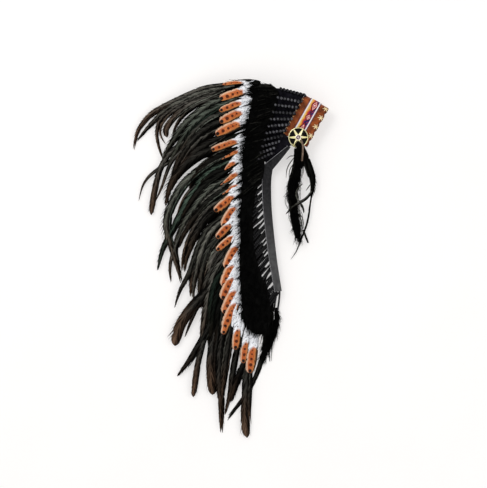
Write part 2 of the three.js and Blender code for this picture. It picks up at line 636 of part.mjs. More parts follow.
// Leather lace that ties the drop to the rosette.
function thong(half) {
  const points = half.out > 0 ? [[189, 314.5, 43.4], [191, 300, 51.2], [190.5, 280, 46.3], [189, 262, 40.3]] : [[199, 292, 15.5], [198, 268, 15.5]];
  const path = points.map(([x, y, z]) => new THREE.Vector3(x, y, z));
  const lace = sweep(path, () => [[-2.2, -0.8], [2.2, -0.8], [2.2, 0.8], [-2.2, 0.8]]);
  return piece(`${half.name}_thong`, lace, THONG_TAN);
}

// Tail: two ties from the end of the strip, with a drop of black down

const TIE_ROUTES = [
  [[122.5, -78, 17], [121.5, -92, 14], [118.5, -112, 9], [116, -129, 6.2], [115, -138, 5.6]],
  [[129, -77, 14], [130, -92, 11], [128.3, -112, 7.6], [126, -129, 5.8], [125, -138, 5.5]],
];

function tailTie(k) {
  const route = new THREE.CatmullRomCurve3(TIE_ROUTES[k].map(([x, y, z]) => new THREE.Vector3(x, y, z)));
  const round = new THREE.Shape(Array.from({ length: 8 }, (_, i) =>
    plan(Math.cos((i * Math.PI) / 4), Math.sin((i * Math.PI) / 4)).multiplyScalar(CORD_DIAMETER / 2)));
  const tube = new THREE.ExtrudeGeometry(round, { steps: 7, extrudePath: route, bevelEnabled: false });
  return piece(`tail_tie_${k + 1}`, tube, BLACK_CORD);
}

function tailDrop() {
  const line = TAIL_PATH.map((p, i) => raise(p, TAIL_THICKS[i] / 2));
  const section = (i) => Array.from({ length: 6 }, (_, k) => {
    const angle = (k / 6) * 2 * Math.PI;
    return [(TAIL_WIDTHS[i] / 2) * Math.cos(angle), (TAIL_THICKS[i] / 2) * Math.sin(angle) / Math.sin(Math.PI / 3)];
  });
  return piece("tail_drop", sweep(line, section), BLACK_DOWN);
}

// Assembly

const headdress = new THREE.Group();
headdress.add(headband(), wovenTrim(), crownCap(), trailerStrip(), tailTie(0), tailTie(1), tailDrop());
for (const half of [RIGHT, LEFT]) {
  headdress.add(rosette(half), ...quillWraps(half), rimBinding(half), trailerQuills(half));
  headdress.add(furDrop(half), dropPlumes(half), thong(half));
  for (const region of Object.keys(REGIONS))
    headdress.add(plumes(half, region), spottedFeathers(half, region), fluff(half, region));
}

// The origin is the middle of the footprint, on the surface.
const box = new THREE.Box3().setFromObject(headdress, true);
const middle = box.getCenter(new THREE.Vector3());
headdress.position.set(-middle.x, -middle.y, -box.min.z);

export default headdress;
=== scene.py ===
import math
import random

import bmesh
import bpy
from mathutils import Matrix, Vector


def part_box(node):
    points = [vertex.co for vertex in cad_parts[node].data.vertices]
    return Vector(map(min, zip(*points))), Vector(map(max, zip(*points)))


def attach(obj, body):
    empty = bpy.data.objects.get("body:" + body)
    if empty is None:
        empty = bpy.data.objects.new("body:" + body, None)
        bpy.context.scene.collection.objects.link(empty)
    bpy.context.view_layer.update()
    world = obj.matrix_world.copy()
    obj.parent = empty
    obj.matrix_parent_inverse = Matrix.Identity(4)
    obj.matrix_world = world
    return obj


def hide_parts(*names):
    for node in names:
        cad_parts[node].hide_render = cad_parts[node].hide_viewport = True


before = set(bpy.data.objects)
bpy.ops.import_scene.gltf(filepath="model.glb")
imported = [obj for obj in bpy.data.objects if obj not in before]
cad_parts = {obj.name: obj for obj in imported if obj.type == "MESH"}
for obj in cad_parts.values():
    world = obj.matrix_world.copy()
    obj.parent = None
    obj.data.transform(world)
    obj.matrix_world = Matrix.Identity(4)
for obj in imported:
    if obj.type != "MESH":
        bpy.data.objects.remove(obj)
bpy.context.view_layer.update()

scene = bpy.context.scene

# View, floor and light
# The headdress lies folded on a pale floor and is seen from straight above, through a long lens.
# Plan positions are in millimetres, and the rosette on the floor side ties them to the frame.

MM = 0.001
FOLD_CENTRE = Vector((229.0, 421.0))
BAND_SLOPE = math.radians(60.5)
BAND_BACK = Vector((-math.cos(BAND_SLOPE), -math.sin(BAND_SLOPE)))
BAND_DOWN = Vector((math.sin(BAND_SLOPE), -math.cos(BAND_SLOPE)))
ROSETTE_ALONG = 108.0
ROSETTE_ACROSS = 4.0
UP = Vector((0.0, 0.0, 1.0))


def on_band(along, across):
    """Plan point at a distance back from the front fold and across the band towards the brow edge."""
    return FOLD_CENTRE + BAND_BACK * along + BAND_DOWN * across


rosette_low, rosette_high = (Vector(corner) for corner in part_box("left_rosette"))
plan_shift = ((rosette_low + rosette_high) / 2).xy - on_band(ROSETTE_ALONG, ROSETTE_ACROSS) * MM


def at(point, height=None):
    """A plan point and a height, or a point with its own height, in millimetres, as a place in the frame."""
    z = point[2] if height is None else height
    return Vector((point[0] * MM + plan_shift.x, point[1] * MM + plan_shift.y, z * MM))


# The frame's width and middle at a level between the floor and the top.
FIELD_WIDTH = 1.300
VIEW_CENTRE = (33.5, 41.4)
VIEW_LEVEL = 0.02
LENS = 135.0
SENSOR = 36.0
camera_data = bpy.data.cameras.new("camera")
camera_data.lens = LENS
camera_data.sensor_width = SENSOR
camera_data.sensor_fit = "HORIZONTAL"
camera = bpy.data.objects.new("camera", camera_data)
camera.location = at(VIEW_CENTRE, 0) + UP * (FIELD_WIDTH * LENS / SENSOR + VIEW_LEVEL)
scene.collection.objects.link(camera)
scene.camera = camera
scene.view_settings.view_transform = "Standard"


def add(tree, kind, inputs=None, **settings):
    """A new node, with its settings and with its inputs linked to sockets or set to values."""
    new = tree.nodes.new(kind)
    for key, value in settings.items():
        setattr(new, key, value)
    for key, value in (inputs or {}).items():
        if isinstance(value, bpy.types.NodeSocket):
            tree.links.new(value, new.inputs[key])
        else:
            new.inputs[key].default_value = value
    return new


def result(tree, kind, inputs=None, **settings):
    """First output socket of a new node."""
    return add(tree, kind, inputs, **settings).outputs[0]


def calc(tree, operation, *values):
    """Result socket of a maths node."""
    return result(tree, "ShaderNodeMath", dict(enumerate(values)), operation=operation)


def product(tree, value, *factors):
    """Socket of values multiplied together."""
    for factor in factors:
        value = calc(tree, "MULTIPLY", value, factor)
    return value


def scaled(tree, value, factor, plus):
    """Socket of a value times a factor, plus another value."""
    return calc(tree, "MULTIPLY_ADD", value, factor, plus)


def blend(tree, share, first, second):
    """Result socket of a colour mix."""
    mixer = add(tree, "ShaderNodeMix", data_type="RGBA")
    for key, value in ((0, share), (6, first), (7, second)):
        if isinstance(value, bpy.types.NodeSocket):
            tree.links.new(value, mixer.inputs[key])
        else:
            mixer.inputs[key].default_value = value if key == 0 else (*value, 1.0)
    return mixer.outputs[2]


def ramp(tree, value, low, high):
    """Value mapped smoothly to 0 at low and 1 at high."""
    return result(tree, "ShaderNodeMapRange", {"Value": value, "From Min": low, "From Max": high},
                  interpolation_type="SMOOTHSTEP")


def parts_of(tree, vector):
    """Sockets of a vector's three parts."""
    return add(tree, "ShaderNodeSeparateXYZ", {0: vector}).outputs


def noise(tree, place, scale, detail=2.0, roughness=0.5):
    """Socket of a noise value at a place."""
    return result(tree, "ShaderNodeTexNoise", {"Vector": place, "Scale": scale, "Detail": detail,
                                               "Roughness": roughness})


def object_place(tree):
    """Socket of a point's place in the frame."""
    return add(tree, "ShaderNodeTexCoord").outputs["Object"]


SOCKET_KINDS = {float: "Float", int: "Int", tuple: "Color"}


def new_group(name, kind, inputs, outputs):
    """A node group with named sockets, and its input and output nodes. An input is of the kind of its first value,
    and one that has none is of the kind that it is named for."""
    tree = bpy.data.node_groups.new(name, kind)
    for key, value in inputs.items():
        socket_type = "NodeSocket" + SOCKET_KINDS.get(type(value), key)
        socket = tree.interface.new_socket(key, in_out="INPUT", socket_type=socket_type)
        if value is not None:
            socket.default_value = value
    for key, socket_kind in outputs.items():
        tree.interface.new_socket(key, in_out="OUTPUT", socket_type="NodeSocket" + socket_kind)
    return tree, tree.nodes.new("NodeGroupInput"), tree.nodes.new("NodeGroupOutput")


# Mottling: soft patches and a fine grain over leather, felt and cloth.
mottle, mottle_in, mottle_out = new_group(
    "Mottle", "ShaderNodeTree",
    {"Dark": (0, 0, 0, 1), "Light": (1, 1, 1, 1), "Patch Scale": 40.0, "Grain Scale": 900.0},
    {"Color": "Color", "Grain": "Float"})
mottle_place = object_place(mottle)
mottle_patch = noise(mottle, mottle_place, mottle_in.outputs["Patch Scale"], 5.0, 0.6)
mottle_grain = noise(mottle, mottle_place, mottle_in.outputs["Grain Scale"], 3.0)
mottle_share = ramp(mottle, scaled(mottle, mottle_grain, 0.35, product(mottle, mottle_patch, 0.65)), 0.34, 0.66)
mottle_colour = blend(mottle, mottle_share, mottle_in.outputs["Dark"], mottle_in.outputs["Light"])
mottle.links.new(mottle_colour, mottle_out.inputs["Color"])
mottle.links.new(mottle_grain, mottle_out.inputs["Grain"])


def new_material(name, roughness, **sockets):
    """A material with its shader's constant values set, and its tree and shader."""
    material = bpy.data.materials.new(name)
    material.use_nodes = True
    shader = material.node_tree.nodes["Principled BSDF"]
    shader.inputs["Roughness"].default_value = roughness
    for key, value in sockets.items():
        shader.inputs[key.replace("_", " ")].default_value = value
    return material, material.node_tree, shader


def mottled(tree, dark, light, patch, grain):
    """Colour and grain sockets of the mottling with this material's own values."""
    group = add(tree, "ShaderNodeGroup", {"Dark": (*dark, 1), "Light": (*light, 1), "Patch Scale": patch,
                                          "Grain Scale": grain}, node_tree=mottle)
    return group.outputs["Color"], group.outputs["Grain"]


def paint(tree, shader, colour, roughness=None):
    """Colour, and roughness where it varies, into the shader."""
    tree.links.new(colour, shader.inputs["Base Color"])
    if roughness is not None:
        tree.links.new(roughness, shader.inputs["Roughness"])


def emboss(tree, shader, height, distance, strength):
    """Bump from a height, into the shader's normal."""
    bump = result(tree, "ShaderNodeBump", {"Height": height, "Distance": distance, "Strength": strength})
    tree.links.new(bump, shader.inputs["Normal"])


def mottled_material(name, roughness, dark, light, scales, relief=None, polish=None, **sockets):
    """A material of mottling alone: the scales of its patches and grain, the depth and strength of its relief, and
    how its roughness follows the grain."""
    material, tree, shader = new_material(name, roughness, **sockets)
    colour, grain = mottled(tree, dark, light, *scales)
    paint(tree, shader, colour, scaled(tree, grain, *polish) if polish else None)
    if relief:
        emboss(tree, shader, grain, *relief)
    return material


FLOOR_HALF = 6.0
FLOOR_DROP = 0.0004
floor_material, tree, shader = new_material("pale_floor", 0.9, Specular_IOR_Level=0.1, Emission_Strength=0.50,
                                            Emission_Color=(1.0, 0.985, 0.975, 1.0))
paint(tree, shader, mottled(tree, (0.50, 0.495, 0.49), (0.52, 0.512, 0.508), 3.0, 200.0)[0])
floor_mesh = bpy.data.meshes.new("floor")
floor_mesh.from_pydata([(x * FLOOR_HALF, y * FLOOR_HALF, -FLOOR_DROP) for x, y in ((-1, -1), (1, -1), (1, 1), (-1, 1))],
                       [], [(0, 1, 2, 3)])
floor_mesh.materials.append(floor_material)
floor = bpy.data.objects.new("floor", floor_mesh)
scene.collection.objects.link(floor)

world = bpy.data.worlds.new("studio")
world.use_nodes = True
sky_tree = world.node_tree
overhead = parts_of(sky_tree, add(sky_tree, "ShaderNodeTexCoord").outputs["Generated"])[2]
dark_card = ramp(sky_tree, overhead, 0.72, 0.90)
sky_colour = blend(sky_tree, dark_card, (1.0, 0.985, 0.975), (0.22, 0.215, 0.21))
sky_tree.links.new(sky_colour, sky_tree.nodes["Background"].inputs["Color"])
sky_tree.nodes["Background"].inputs["Strength"].default_value = 1.12
scene.world = world


def softbox(name, place, aim, width, power):
    """A square soft light."""
    light = bpy.data.lights.new(name, "AREA")
    light.size = width
    light.energy = power
    lamp = bpy.data.objects.new(name, light)
    lamp.location = place
    lamp.rotation_euler = (Vector(aim) - Vector(place)).to_track_quat("-Z", "Y").to_euler()
    scene.collection.objects.link(lamp)


softbox("key_light", (-1.3, 1.6, 2.6), (0, 0, 0), 1.2, 26.0)
softbox("fill_light", (2.2, -0.6, 2.2), (0.05, 0, 0), 1.8, 8.0)

# Tail ties
# Two black waxed cords that leave the open end of the folded felt strip and hold the tail drop.
# They lie loosely, straight out of the strip and down to the floor.

TIE_DIAMETER = 5.2
TIE_ROUTES = (
    ((122.5, -78, 17), (121.5, -92, 14), (118.5, -112, 9), (116, -129, 6.2), (115, -138, 5.6)),
    ((129, -77, 14), (130, -92, 11), (128.3, -112, 7.6), (126, -129, 5.8), (125, -138, 5.5)),
)


def smooth_line(points, count):
    """Evenly spaced points on a smooth curve through the given ones."""
    given = [Vector(p) for p in points]
    fine = []
    for i in range(len(given) - 1):
        before, start, end, after = (given[min(max(k, 0), len(given) - 1)] for k in (i - 1, i, i + 1, i + 2))
        leave = (end - before) / 2
        arrive = (after - start) / 2
        for k in range(24):
            t = k / 24
            fine.append((2 * start - 2 * end + leave + arrive) * t ** 3
                        + (-3 * start + 3 * end - 2 * leave - arrive) * t ** 2 + leave * t + start)
    fine.append(given[-1])
    return even_points(fine, count)


def even_points(line, count):
    """Points at even distances along a polyline."""
    reach = [0.0]
    for a, b in zip(line, line[1:]):
        reach.append(reach[-1] + (b - a).length)
    spaced = []
    k = 0
    for i in range(count):
        want = reach[-1] * i / (count - 1)
        while k < len(line) - 2 and reach[k + 1] < want:
            k += 1
        spaced.append(line[k].lerp(line[k + 1], (want - reach[k]) / max(reach[k + 1] - reach[k], 1e-9)))
    return spaced


cord_material, tree, shader = new_material("black_cord", 0.55, Specular_IOR_Level=0.35)
colour, grain = mottled(tree, (0.004, 0.004, 0.005), (0.022, 0.021, 0.024), 120.0, 1500.0)
paint(tree, shader, colour)
twist = result(tree, "ShaderNodeTexWave", {"Vector": object_place(tree), "Scale": 130.0, "Distortion": 1.2,
                                           "Detail": 1.0}, bands_direction="DIAGONAL")
emboss(tree, shader, scaled(tree, grain, 0.5, twist), 0.0004, 0.7)


def line_length(points):
    return sum((b - a).length for a, b in zip(points, points[1:]))


for number, route in enumerate(TIE_ROUTES, 1):
    points = [at(p) for p in smooth_line(route, 22)]
    curve = bpy.data.curves.new(f"tail_cord_{number}", "CURVE")
    curve.dimensions = "3D"
    curve.bevel_depth = TIE_DIAMETER / 2 * MM
    curve.bevel_resolution = 2
    curve.use_fill_caps = True
    spline = curve.splines.new("POLY")
    spline.points.add(len(points) - 1)
    for knot_point, position in zip(spline.points, points):
        knot_point.co = (*position, 1)
    curve.materials.append(cord_material)
    tie = bpy.data.objects.new(f"tail_cord_{number}", curve)
    scene.collection.objects.link(tie)
    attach(tie, "root")
    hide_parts(f"tail_tie_{number}")

# Headband
# A strip of brown leather folded round the brow, 75 mm wide, its grain side out.
# The brow edge is nicked between the stitches, and both edges are rubbed darker.

BAND_WIDTH = 75.0
BAND_LEG = 118.0
LEATHER = 2.2
FOLD_RADIUS = 16.5
BAND_UNDERSIDE = 9.5
BAND_SINK = 7.5
BAND_MIDDLE = BAND_UNDERSIDE + FOLD_RADIUS
SCALLOP_PITCH = 27.3
SCALLOP_FIRST = 15.5
SCALLOP_DEPTH = 2.6
BROW_EDGE_FROM = 30.0
BAND_STEP = 2.5


def fold_path(standoff, leg, step):
    """Stations round the front fold, from the lower leg's end to the upper one's: distance from the fold's
    middle along the strip, distance back in plan, height and outward direction as (back, up)."""
    radius = FOLD_RADIUS + standoff
    slope = BAND_SINK / (BAND_LEG - FOLD_RADIUS)
    tilt = math.atan(slope)
    straight = leg - FOLD_RADIUS
    legs = max(2, round(straight / step))
    turns = max(6, round(math.pi * radius / step))
    stations = []
    for i in range(legs):
        back = straight * (1 - i / legs)
        stations.append((-back - math.pi * radius / 2, FOLD_RADIUS + back, BAND_MIDDLE - radius, (0.0, -1.0)))
    for i in range(turns):
        angle = math.pi * (0.5 + i / turns)
        out = (math.cos(angle), -math.sin(angle))
        stations.append((radius * (angle - math.pi), FOLD_RADIUS + radius * out[0], BAND_MIDDLE + radius * out[1],
                         out))
    for i in range(legs + 1):
        back = straight * i / legs
        stations.append((back + math.pi * radius / 2, FOLD_RADIUS + back, BAND_MIDDLE + radius - slope * back,
                         (math.sin(tilt), math.cos(tilt))))
    return stations


def loft(name, rings, material, along=None, across=None, sharp=50):
    """A closed mesh through rings of points. The UV map holds the length and breadth, in metres."""
    count = len(rings[0])
    last = (len(rings) - 1) * count
    faces = [(r * count + i, r * count + (i + 1) % count, (r + 1) * count + (i + 1) % count, (r + 1) * count + i)
             for r in range(len(rings) - 1) for i in range(count)]
    faces.append(tuple(reversed(range(count))))
    faces.append(tuple(range(last, last + count)))
    mesh = bpy.data.meshes.new(name)
    mesh.from_pydata([p for ring in rings for p in ring], [], faces)
    if along is not None:
        uv = mesh.uv_layers.new(name="UVMap")
        for loop in mesh.loops:
            r, i = divmod(loop.vertex_index, count)
            uv.data[loop.index].uv = (along[r], across[i])
    return close_up(mesh, material, sharp)


def face_outwards(mesh):
    """The mesh with its faces turned outwards and smoothly shaded."""
    work = bmesh.new()
    work.from_mesh(mesh)
    bmesh.ops.recalc_face_normals(work, faces=work.faces)
    work.to_mesh(mesh)
    work.free()
    mesh.shade_smooth()
    return mesh


def close_up(mesh, material, sharp=50):
    """Faces turned outwards, smooth shading with sharp edges kept, and the material set."""
    face_outwards(mesh)
    mesh.set_sharp_from_angle(angle=math.radians(sharp))
    mesh.materials.clear()
    mesh.materials.append(material)
    return mesh


def place(name, mesh, slot, *nodes):
    """A finished mesh as a piece of the headdress, standing for the named solids."""
    piece = bpy.data.objects.new(name, mesh)
    scene.collection.objects.link(piece)
    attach(piece, "root")
    if nodes:
        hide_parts(*nodes)
    return piece


def strip_section(half, thick, round_edge):
    """Rounded section of a flat strip as (across, out) pairs: its outside at 0, its inside at -thick."""
    corners = ((half, 0, 0), (-half, 0, 90), (-half, -thick, 180), (half, -thick, 270))
    points = []
    for across, out, turn in corners:
        centre = (across - math.copysign(round_edge, across), out - round_edge if out == 0 else out + round_edge)
        for angle in (turn + 15, turn + 45, turn + 75):
            points.append((centre[0] + round_edge * math.cos(math.radians(angle)),
                           centre[1] + round_edge * math.sin(math.radians(angle))))
    return points


def band_point(station, across, out):
    """Frame position on a fold station, at a distance across and outwards."""
    _, back, height, (out_back, out_up) = station
    flat = on_band(back + out_back * out, across)
    return at(flat, height + out_up * out)


leather_material, tree, shader = new_material("brown_leather", 0.5, Specular_IOR_Level=0.14)
colour, grain = mottled(tree, (0.062, 0.013, 0.004), (0.370, 0.086, 0.018), 55.0, 620.0)
across_band = parts_of(tree, result(tree, "ShaderNodeUVMap"))[1]
wear_and_highlight = ramp(tree, calc(tree, "ABSOLUTE", across_band), 0.0315, 0.0375)
worn_and_highlit = blend(tree, product(tree, wear_and_highlight, 0.8), colour, (0.030, 0.008, 0.004))
paint(tree, shader, worn_and_highlit, scaled(tree, grain, 0.3, 0.36))
pores = result(tree, "ShaderNodeTexVoronoi", {"Vector": object_place(tree), "Scale": 900.0})
emboss(tree, shader, scaled(tree, pores, 0.6, grain), 0.0005, 0.6)

band_stations = fold_path(0.0, BAND_LEG, BAND_STEP)
band_section = strip_section(BAND_WIDTH / 2, LEATHER, 0.8)
band_rings = []
for station in band_stations:
    wave = 0.5 - 0.5 * math.cos(2 * math.pi * (abs(station[0]) - SCALLOP_FIRST) / SCALLOP_PITCH)
    nick = SCALLOP_DEPTH * wave ** 3
    band_rings.append([band_point(station, v - (nick if v > BROW_EDGE_FROM else 0), h) for v, h in band_section])
band_mesh = loft("leather_band", band_rings, leather_material, [s[0] * MM for s in band_stations],
                 [v * MM for v, h in band_section])
place("leather_band", band_mesh, "leather", "headband")

# Woven trim
# A woven ribbon sewn along the middle of the band: pale selvedges, a yellow to red side that meets a navy one in
# steps, and ringed red and white diamonds over both.

TRIM_WIDTH = 32.0
TRIM_THICK = 1.2
TRIM_MIDDLE = -2.0
TRIM_LEG = 106.0
TRIM_STANDOFF = 0.5
WEAVE = 0.00125
ZIGZAG = 0.0125
FIGURES = ((0.025, 0.024), (0.060, 0.012), (0.096, 0.024))
FIGURE_ACROSS = 0.0022
FIGURE_HALF = 0.0094
STEP_REPEAT = 0.0105
FIELD_EDGE = 0.0106
SELVEDGE_EDGE = 0.0141

trim_material, tree, shader = new_material("woven_trim", 0.8, Specular_IOR_Level=0.2, Sheen_Weight=0.1)
trim_along, trim_across = parts_of(tree, result(tree, "ShaderNodeUVMap"))[:2]
pick_along, pick_across = (calc(tree, "FLOOR", calc(tree, "DIVIDE", way, WEAVE)) for way in (trim_along, trim_across))
along_middle = calc(tree, "ABSOLUTE", product(tree, pick_along, WEAVE))
field_across = product(tree, pick_across, WEAVE)
border = scaled(tree, calc(tree, "PINGPONG", along_middle, ZIGZAG), 0.42, -0.0030)


def stepped_colours(tree, value, stops):
    """Flat bands of colour along a value."""
    bands = add(tree, "ShaderNodeValToRGB", {0: value})
    bands.color_ramp.interpolation = "CONSTANT"
    for k, (stop, tint) in enumerate(stops):
        element = bands.color_ramp.elements[k] if k < 2 else bands.color_ramp.elements.new(stop)
        element.position = stop
        element.color = (*tint, 1)
    return bands.outputs[0]


warm_share = calc(tree, "DIVIDE", *(calc(tree, "ADD", way, FIELD_EDGE) for way in (field_across, border)))
warm = stepped_colours(tree, warm_share, (
    (0.0, (0.78, 0.54, 0.18)), (0.20, (0.76, 0.33, 0.05)), (0.44, (0.62, 0.12, 0.02)), (0.70, (0.36, 0.015, 0.045))))
cool_share = calc(tree, "FRACT", calc(tree, "DIVIDE", calc(tree, "ADD", along_middle, field_across), STEP_REPEAT))
cool = stepped_colours(tree, cool_share, (
    (0.0, (0.020, 0.012, 0.095)), (0.42, (0.15, 0.012, 0.11)), (0.68, (0.40, 0.025, 0.06)), (0.84, (0.030, 0.012, 0.07))))
field_colour = blend(tree, calc(tree, "GREATER_THAN", field_across, border), warm, cool)
for centre, reach in FIGURES:
    figure = calc(tree, "ADD", *(
        calc(tree, "DIVIDE", calc(tree, "ABSOLUTE", calc(tree, "SUBTRACT", way, middle)), half)
        for way, middle, half in ((along_middle, centre, reach), (field_across, FIGURE_ACROSS, FIGURE_HALF))))
    rings = stepped_colours(tree, figure, (
        (0.0, (0.86, 0.72, 0.68)), (0.18, (0.40, 0.015, 0.025)), (0.42, (0.86, 0.68, 0.62)), (0.56, (0.46, 0.020, 0.030)),
        (0.76, (0.014, 0.005, 0.016))))
    field_colour = blend(tree, calc(tree, "LESS_THAN", figure, 1.0), field_colour, rings)
edge_distance = calc(tree, "ABSOLUTE", trim_across)
selvedge = blend(tree, calc(tree, "GREATER_THAN", edge_distance, FIELD_EDGE), field_colour, (0.80, 0.74, 0.76))
outer_line = blend(tree, calc(tree, "GREATER_THAN", edge_distance, SELVEDGE_EDGE), selvedge, (0.085, 0.02, 0.055))
paint(tree, shader, outer_line)
threads = [calc(tree, "ABSOLUTE", calc(tree, "SINE", product(tree, way, math.pi / WEAVE)))
           for way in (trim_along, trim_across)]
emboss(tree, shader, product(tree, *threads), 0.0004, 0.8)

trim_stations = fold_path(TRIM_STANDOFF + TRIM_THICK, TRIM_LEG, BAND_STEP)
trim_section = strip_section(TRIM_WIDTH / 2, TRIM_THICK, 0.45)
trim_rings = [[band_point(s, TRIM_MIDDLE + v, h) for v, h in trim_section] for s in trim_stations]
trim_mesh = loft("woven_ribbon", trim_rings, trim_material, [s[0] * MM for s in trim_stations],
                 [v * MM for v, h in trim_section])
place("woven_ribbon", trim_mesh, "trim_weave", "woven_trim")

# Edge stitches
# Cream thread in crossed star stitches along the brow edge of the leather, and tan thread in a small whipped knot at
# the crown edge beside each wound quill.

STAR_SPAN = 17.0
STAR_INSET = 7.0
STAR_ARMS = ((20, 1.0), (80, 0.86), (140, 0.92))
STAR_COUNT = 4
KNOT_SPAN = 5.2
KNOT_INSET = 2.2
KNOT_COUNT = 7
STITCH_LIFT = 0.1
WRAP_PITCH = 17.0
WRAP_FIRST = 6.0
WRAP_COUNT = 11


def bridge(work, rings):
    """Faces between rings of points, and over both ends."""
    count = len(rings[0])
    for a, b in zip(rings, rings[1:]):
        for k in range(count):
            work.faces.new((a[k], a[(k + 1) % count], b[(k + 1) % count], b[k]))
    work.faces.new(rings[0][::-1])
    work.faces.new(rings[-1])


def stitch_mesh(name, spans, width, thick):
    """Crossed stitches, each a rounded bar sunk into the leather at its ends."""
    mesh = bpy.data.meshes.new(name)
    work = bmesh.new()
    for turn, span in spans:
        rings = []
        for share in (-0.5, -0.4, -0.15, 0.15, 0.4, 0.5):
            lift = thick * (1 - (2 * share) ** 2) - 0.25 * thick
            swell = 0.55 if abs(share) == 0.5 else 1.0
            ring = []
            for k in range(6):
                angle = k * math.pi / 3
                x, y = share * span, width / 2 * swell * math.cos(angle)
                ring.append(work.verts.new((x * math.cos(turn) - y * math.sin(turn),
                                            x * math.sin(turn) + y * math.cos(turn),
                                            lift + thick / 2 * swell * math.sin(angle))))
            rings.append(ring)
        bridge(work, rings)
    work.to_mesh(mesh)
    work.free()
    return face_outwards(mesh)


def point_cloud(name, points, **attributes):
    """A mesh of loose points with named attributes, each a list of numbers or vectors."""
    mesh = bpy.data.meshes.new(name)
    mesh.from_pydata([tuple(p) for p in points], [], [])
    set_attributes(mesh, attributes)
    return mesh


def set_attributes(mesh, attributes):
    for key, values in attributes.items():
        if isinstance(values[0], (int, float)):
            mesh.attributes.new(key, "FLOAT", "POINT").data.foreach_set("value", values)
        else:
            flat = [c for v in values for c in v]
            mesh.attributes.new(key, "FLOAT_VECTOR", "POINT").data.foreach_set("vector", flat)


def named(tree, name, kind="FLOAT"):
    """Socket of a named attribute."""
    return result(tree, "GeometryNodeInputNamedAttribute", {"Name": name}, data_type=kind)


def xyz(tree, *values):
    """Socket of a vector from its parts."""
    return result(tree, "ShaderNodeCombineXYZ", dict(enumerate(values)))


def new_tree(name, sizes):
    """A geometry node tree with named sizes, and its input and output nodes."""
    return new_group(name, "GeometryNodeTree", {"Geometry": None, **sizes, "Material": None}, {"Geometry": "Geometry"})


def facing(tree, ahead, up):
    """Socket of the turn that sets a part's X ahead and its Z up."""
    return result(tree, "FunctionNodeAxesToRotation", {0: ahead, 1: up}, primary_axis="X", secondary_axis="Z")


def shape_of(tree, part):
    return add(tree, "GeometryNodeObjectInfo", {"Object": part}).outputs["Geometry"]


def set_on(tree, points, part, turn, scale, **more):
    """A part set on every point, as real geometry."""
    copies = result(tree, "GeometryNodeInstanceOnPoints", {"Points": points, "Instance": shape_of(tree, part),
                                                           "Rotation": turn, "Scale": scale, **more})
    return result(tree, "GeometryNodeRealizeInstances", {0: copies})


def close_tree(tree, group_in, group_out, geometry):
    """The end of a tree: smooth shading and the material."""
    smooth = result(tree, "GeometryNodeSetShadeSmooth", {0: geometry})
    finished = result(tree, "GeometryNodeSetMaterial", {"Geometry": smooth, "Material": group_in.outputs["Material"]})
    tree.links.new(finished, group_out.inputs[0])
    return tree


def scatter_group(name, part):
    """A tree that sets one part on every point, along its 'ahead' and 'out' directions."""
    tree, group_in, group_out = new_tree(name, {"Size": 1.0})
    size = group_in.outputs["Size"]
    copies = set_on(tree, group_in.outputs["Geometry"], part,
                    facing(tree, named(tree, "ahead", "FLOAT_VECTOR"), named(tree, "out", "FLOAT_VECTOR")),
                    xyz(tree, size, size, size))
    return close_tree(tree, group_in, group_out, copies)


def grow(name, mesh, tree, **values):
    """The plain mesh that a geometry node tree makes from a mesh."""
    carrier = bpy.data.objects.new(name, mesh)
    scene.collection.objects.link(carrier)
    modifier = carrier.modifiers.new("grow", "NODES")
    modifier.node_group = tree
    for item in tree.interface.items_tree:
        if item.in_out == "INPUT" and item.name.replace(" ", "_").lower() in values:
            modifier[item.identifier] = values[item.name.replace(" ", "_").lower()]
    depsgraph = bpy.context.evaluated_depsgraph_get()
    grown = bpy.data.meshes.new_from_object(carrier.evaluated_get(depsgraph), preserve_all_data_layers=True,
                                            depsgraph=depsgraph)
    grown.name = name
    carrier.modifiers.clear()
    bpy.data.objects.remove(carrier)
    return grown


def helper(mesh):
    """A mesh as an object that a tree can copy; it isn't left in the scene."""
    return bpy.data.objects.new(mesh.name, mesh)


THREAD_SCALES = (300.0, 2500.0)
thread_material = mottled_material("cream_thread", 0.7, (0.78, 0.58, 0.26), (0.95, 0.84, 0.56), THREAD_SCALES,
                                   (0.0003, 0.7), Specular_IOR_Level=0.3, Sheen_Weight=0.15)
knot_material = mottled_material("tan_thread", 0.75, (0.42, 0.24, 0.10), (0.72, 0.52, 0.28), THREAD_SCALES,
                                 (0.0003, 0.7), Specular_IOR_Level=0.2)
star = helper(stitch_mesh("star_stitch", [(math.radians(a), s) for a, s in STAR_ARMS], 0.13, 0.10))
knot = helper(stitch_mesh("knot_stitch", [(0.0, 1.0), (0.5, 0.8)], 0.42, 0.30))


def set_stitches(name, distances, across, part, span, material):
    """Stitches at distances along the band's outside, on both legs of the fold, as one piece."""
    points, ahead, out = [], [], []
    for distance in [leg * d for leg in (1, -1) for d in distances]:
        station = min(band_stations, key=lambda s: abs(s[0] - distance))
        points.append(band_point(station, across, STITCH_LIFT))
        out.append((band_point(station, across, 1) - band_point(station, across, 0)).normalized())
        ahead.append(Vector((*BAND_DOWN, 0)))
    mesh = grow(name, point_cloud(f"{name}_places", points, ahead=ahead, out=out), scatter_group(f"Set {name}", part),
                size=span * MM, material=material)
    place(name, mesh, "trim_weave")


set_stitches("brow_stitches", [SCALLOP_FIRST + k * SCALLOP_PITCH for k in range(STAR_COUNT)], BAND_WIDTH / 2 - STAR_INSET,
             star, STAR_SPAN, thread_material)
round_the_fold = math.pi * FOLD_RADIUS / 2 - FOLD_RADIUS
set_stitches("crown_edge_knots", [WRAP_FIRST + WRAP_PITCH * (k + 0.5) + round_the_fold for k in range(KNOT_COUNT)],
             -BAND_WIDTH / 2 + KNOT_INSET, knot, KNOT_SPAN, knot_material)

# Crown cap
# A pouch of black felt behind the band, flattened as it lies, closed at the top and rear and open along its rim.
# It was cut in one piece, folded over the front and sewn into the band and the trailer strip.

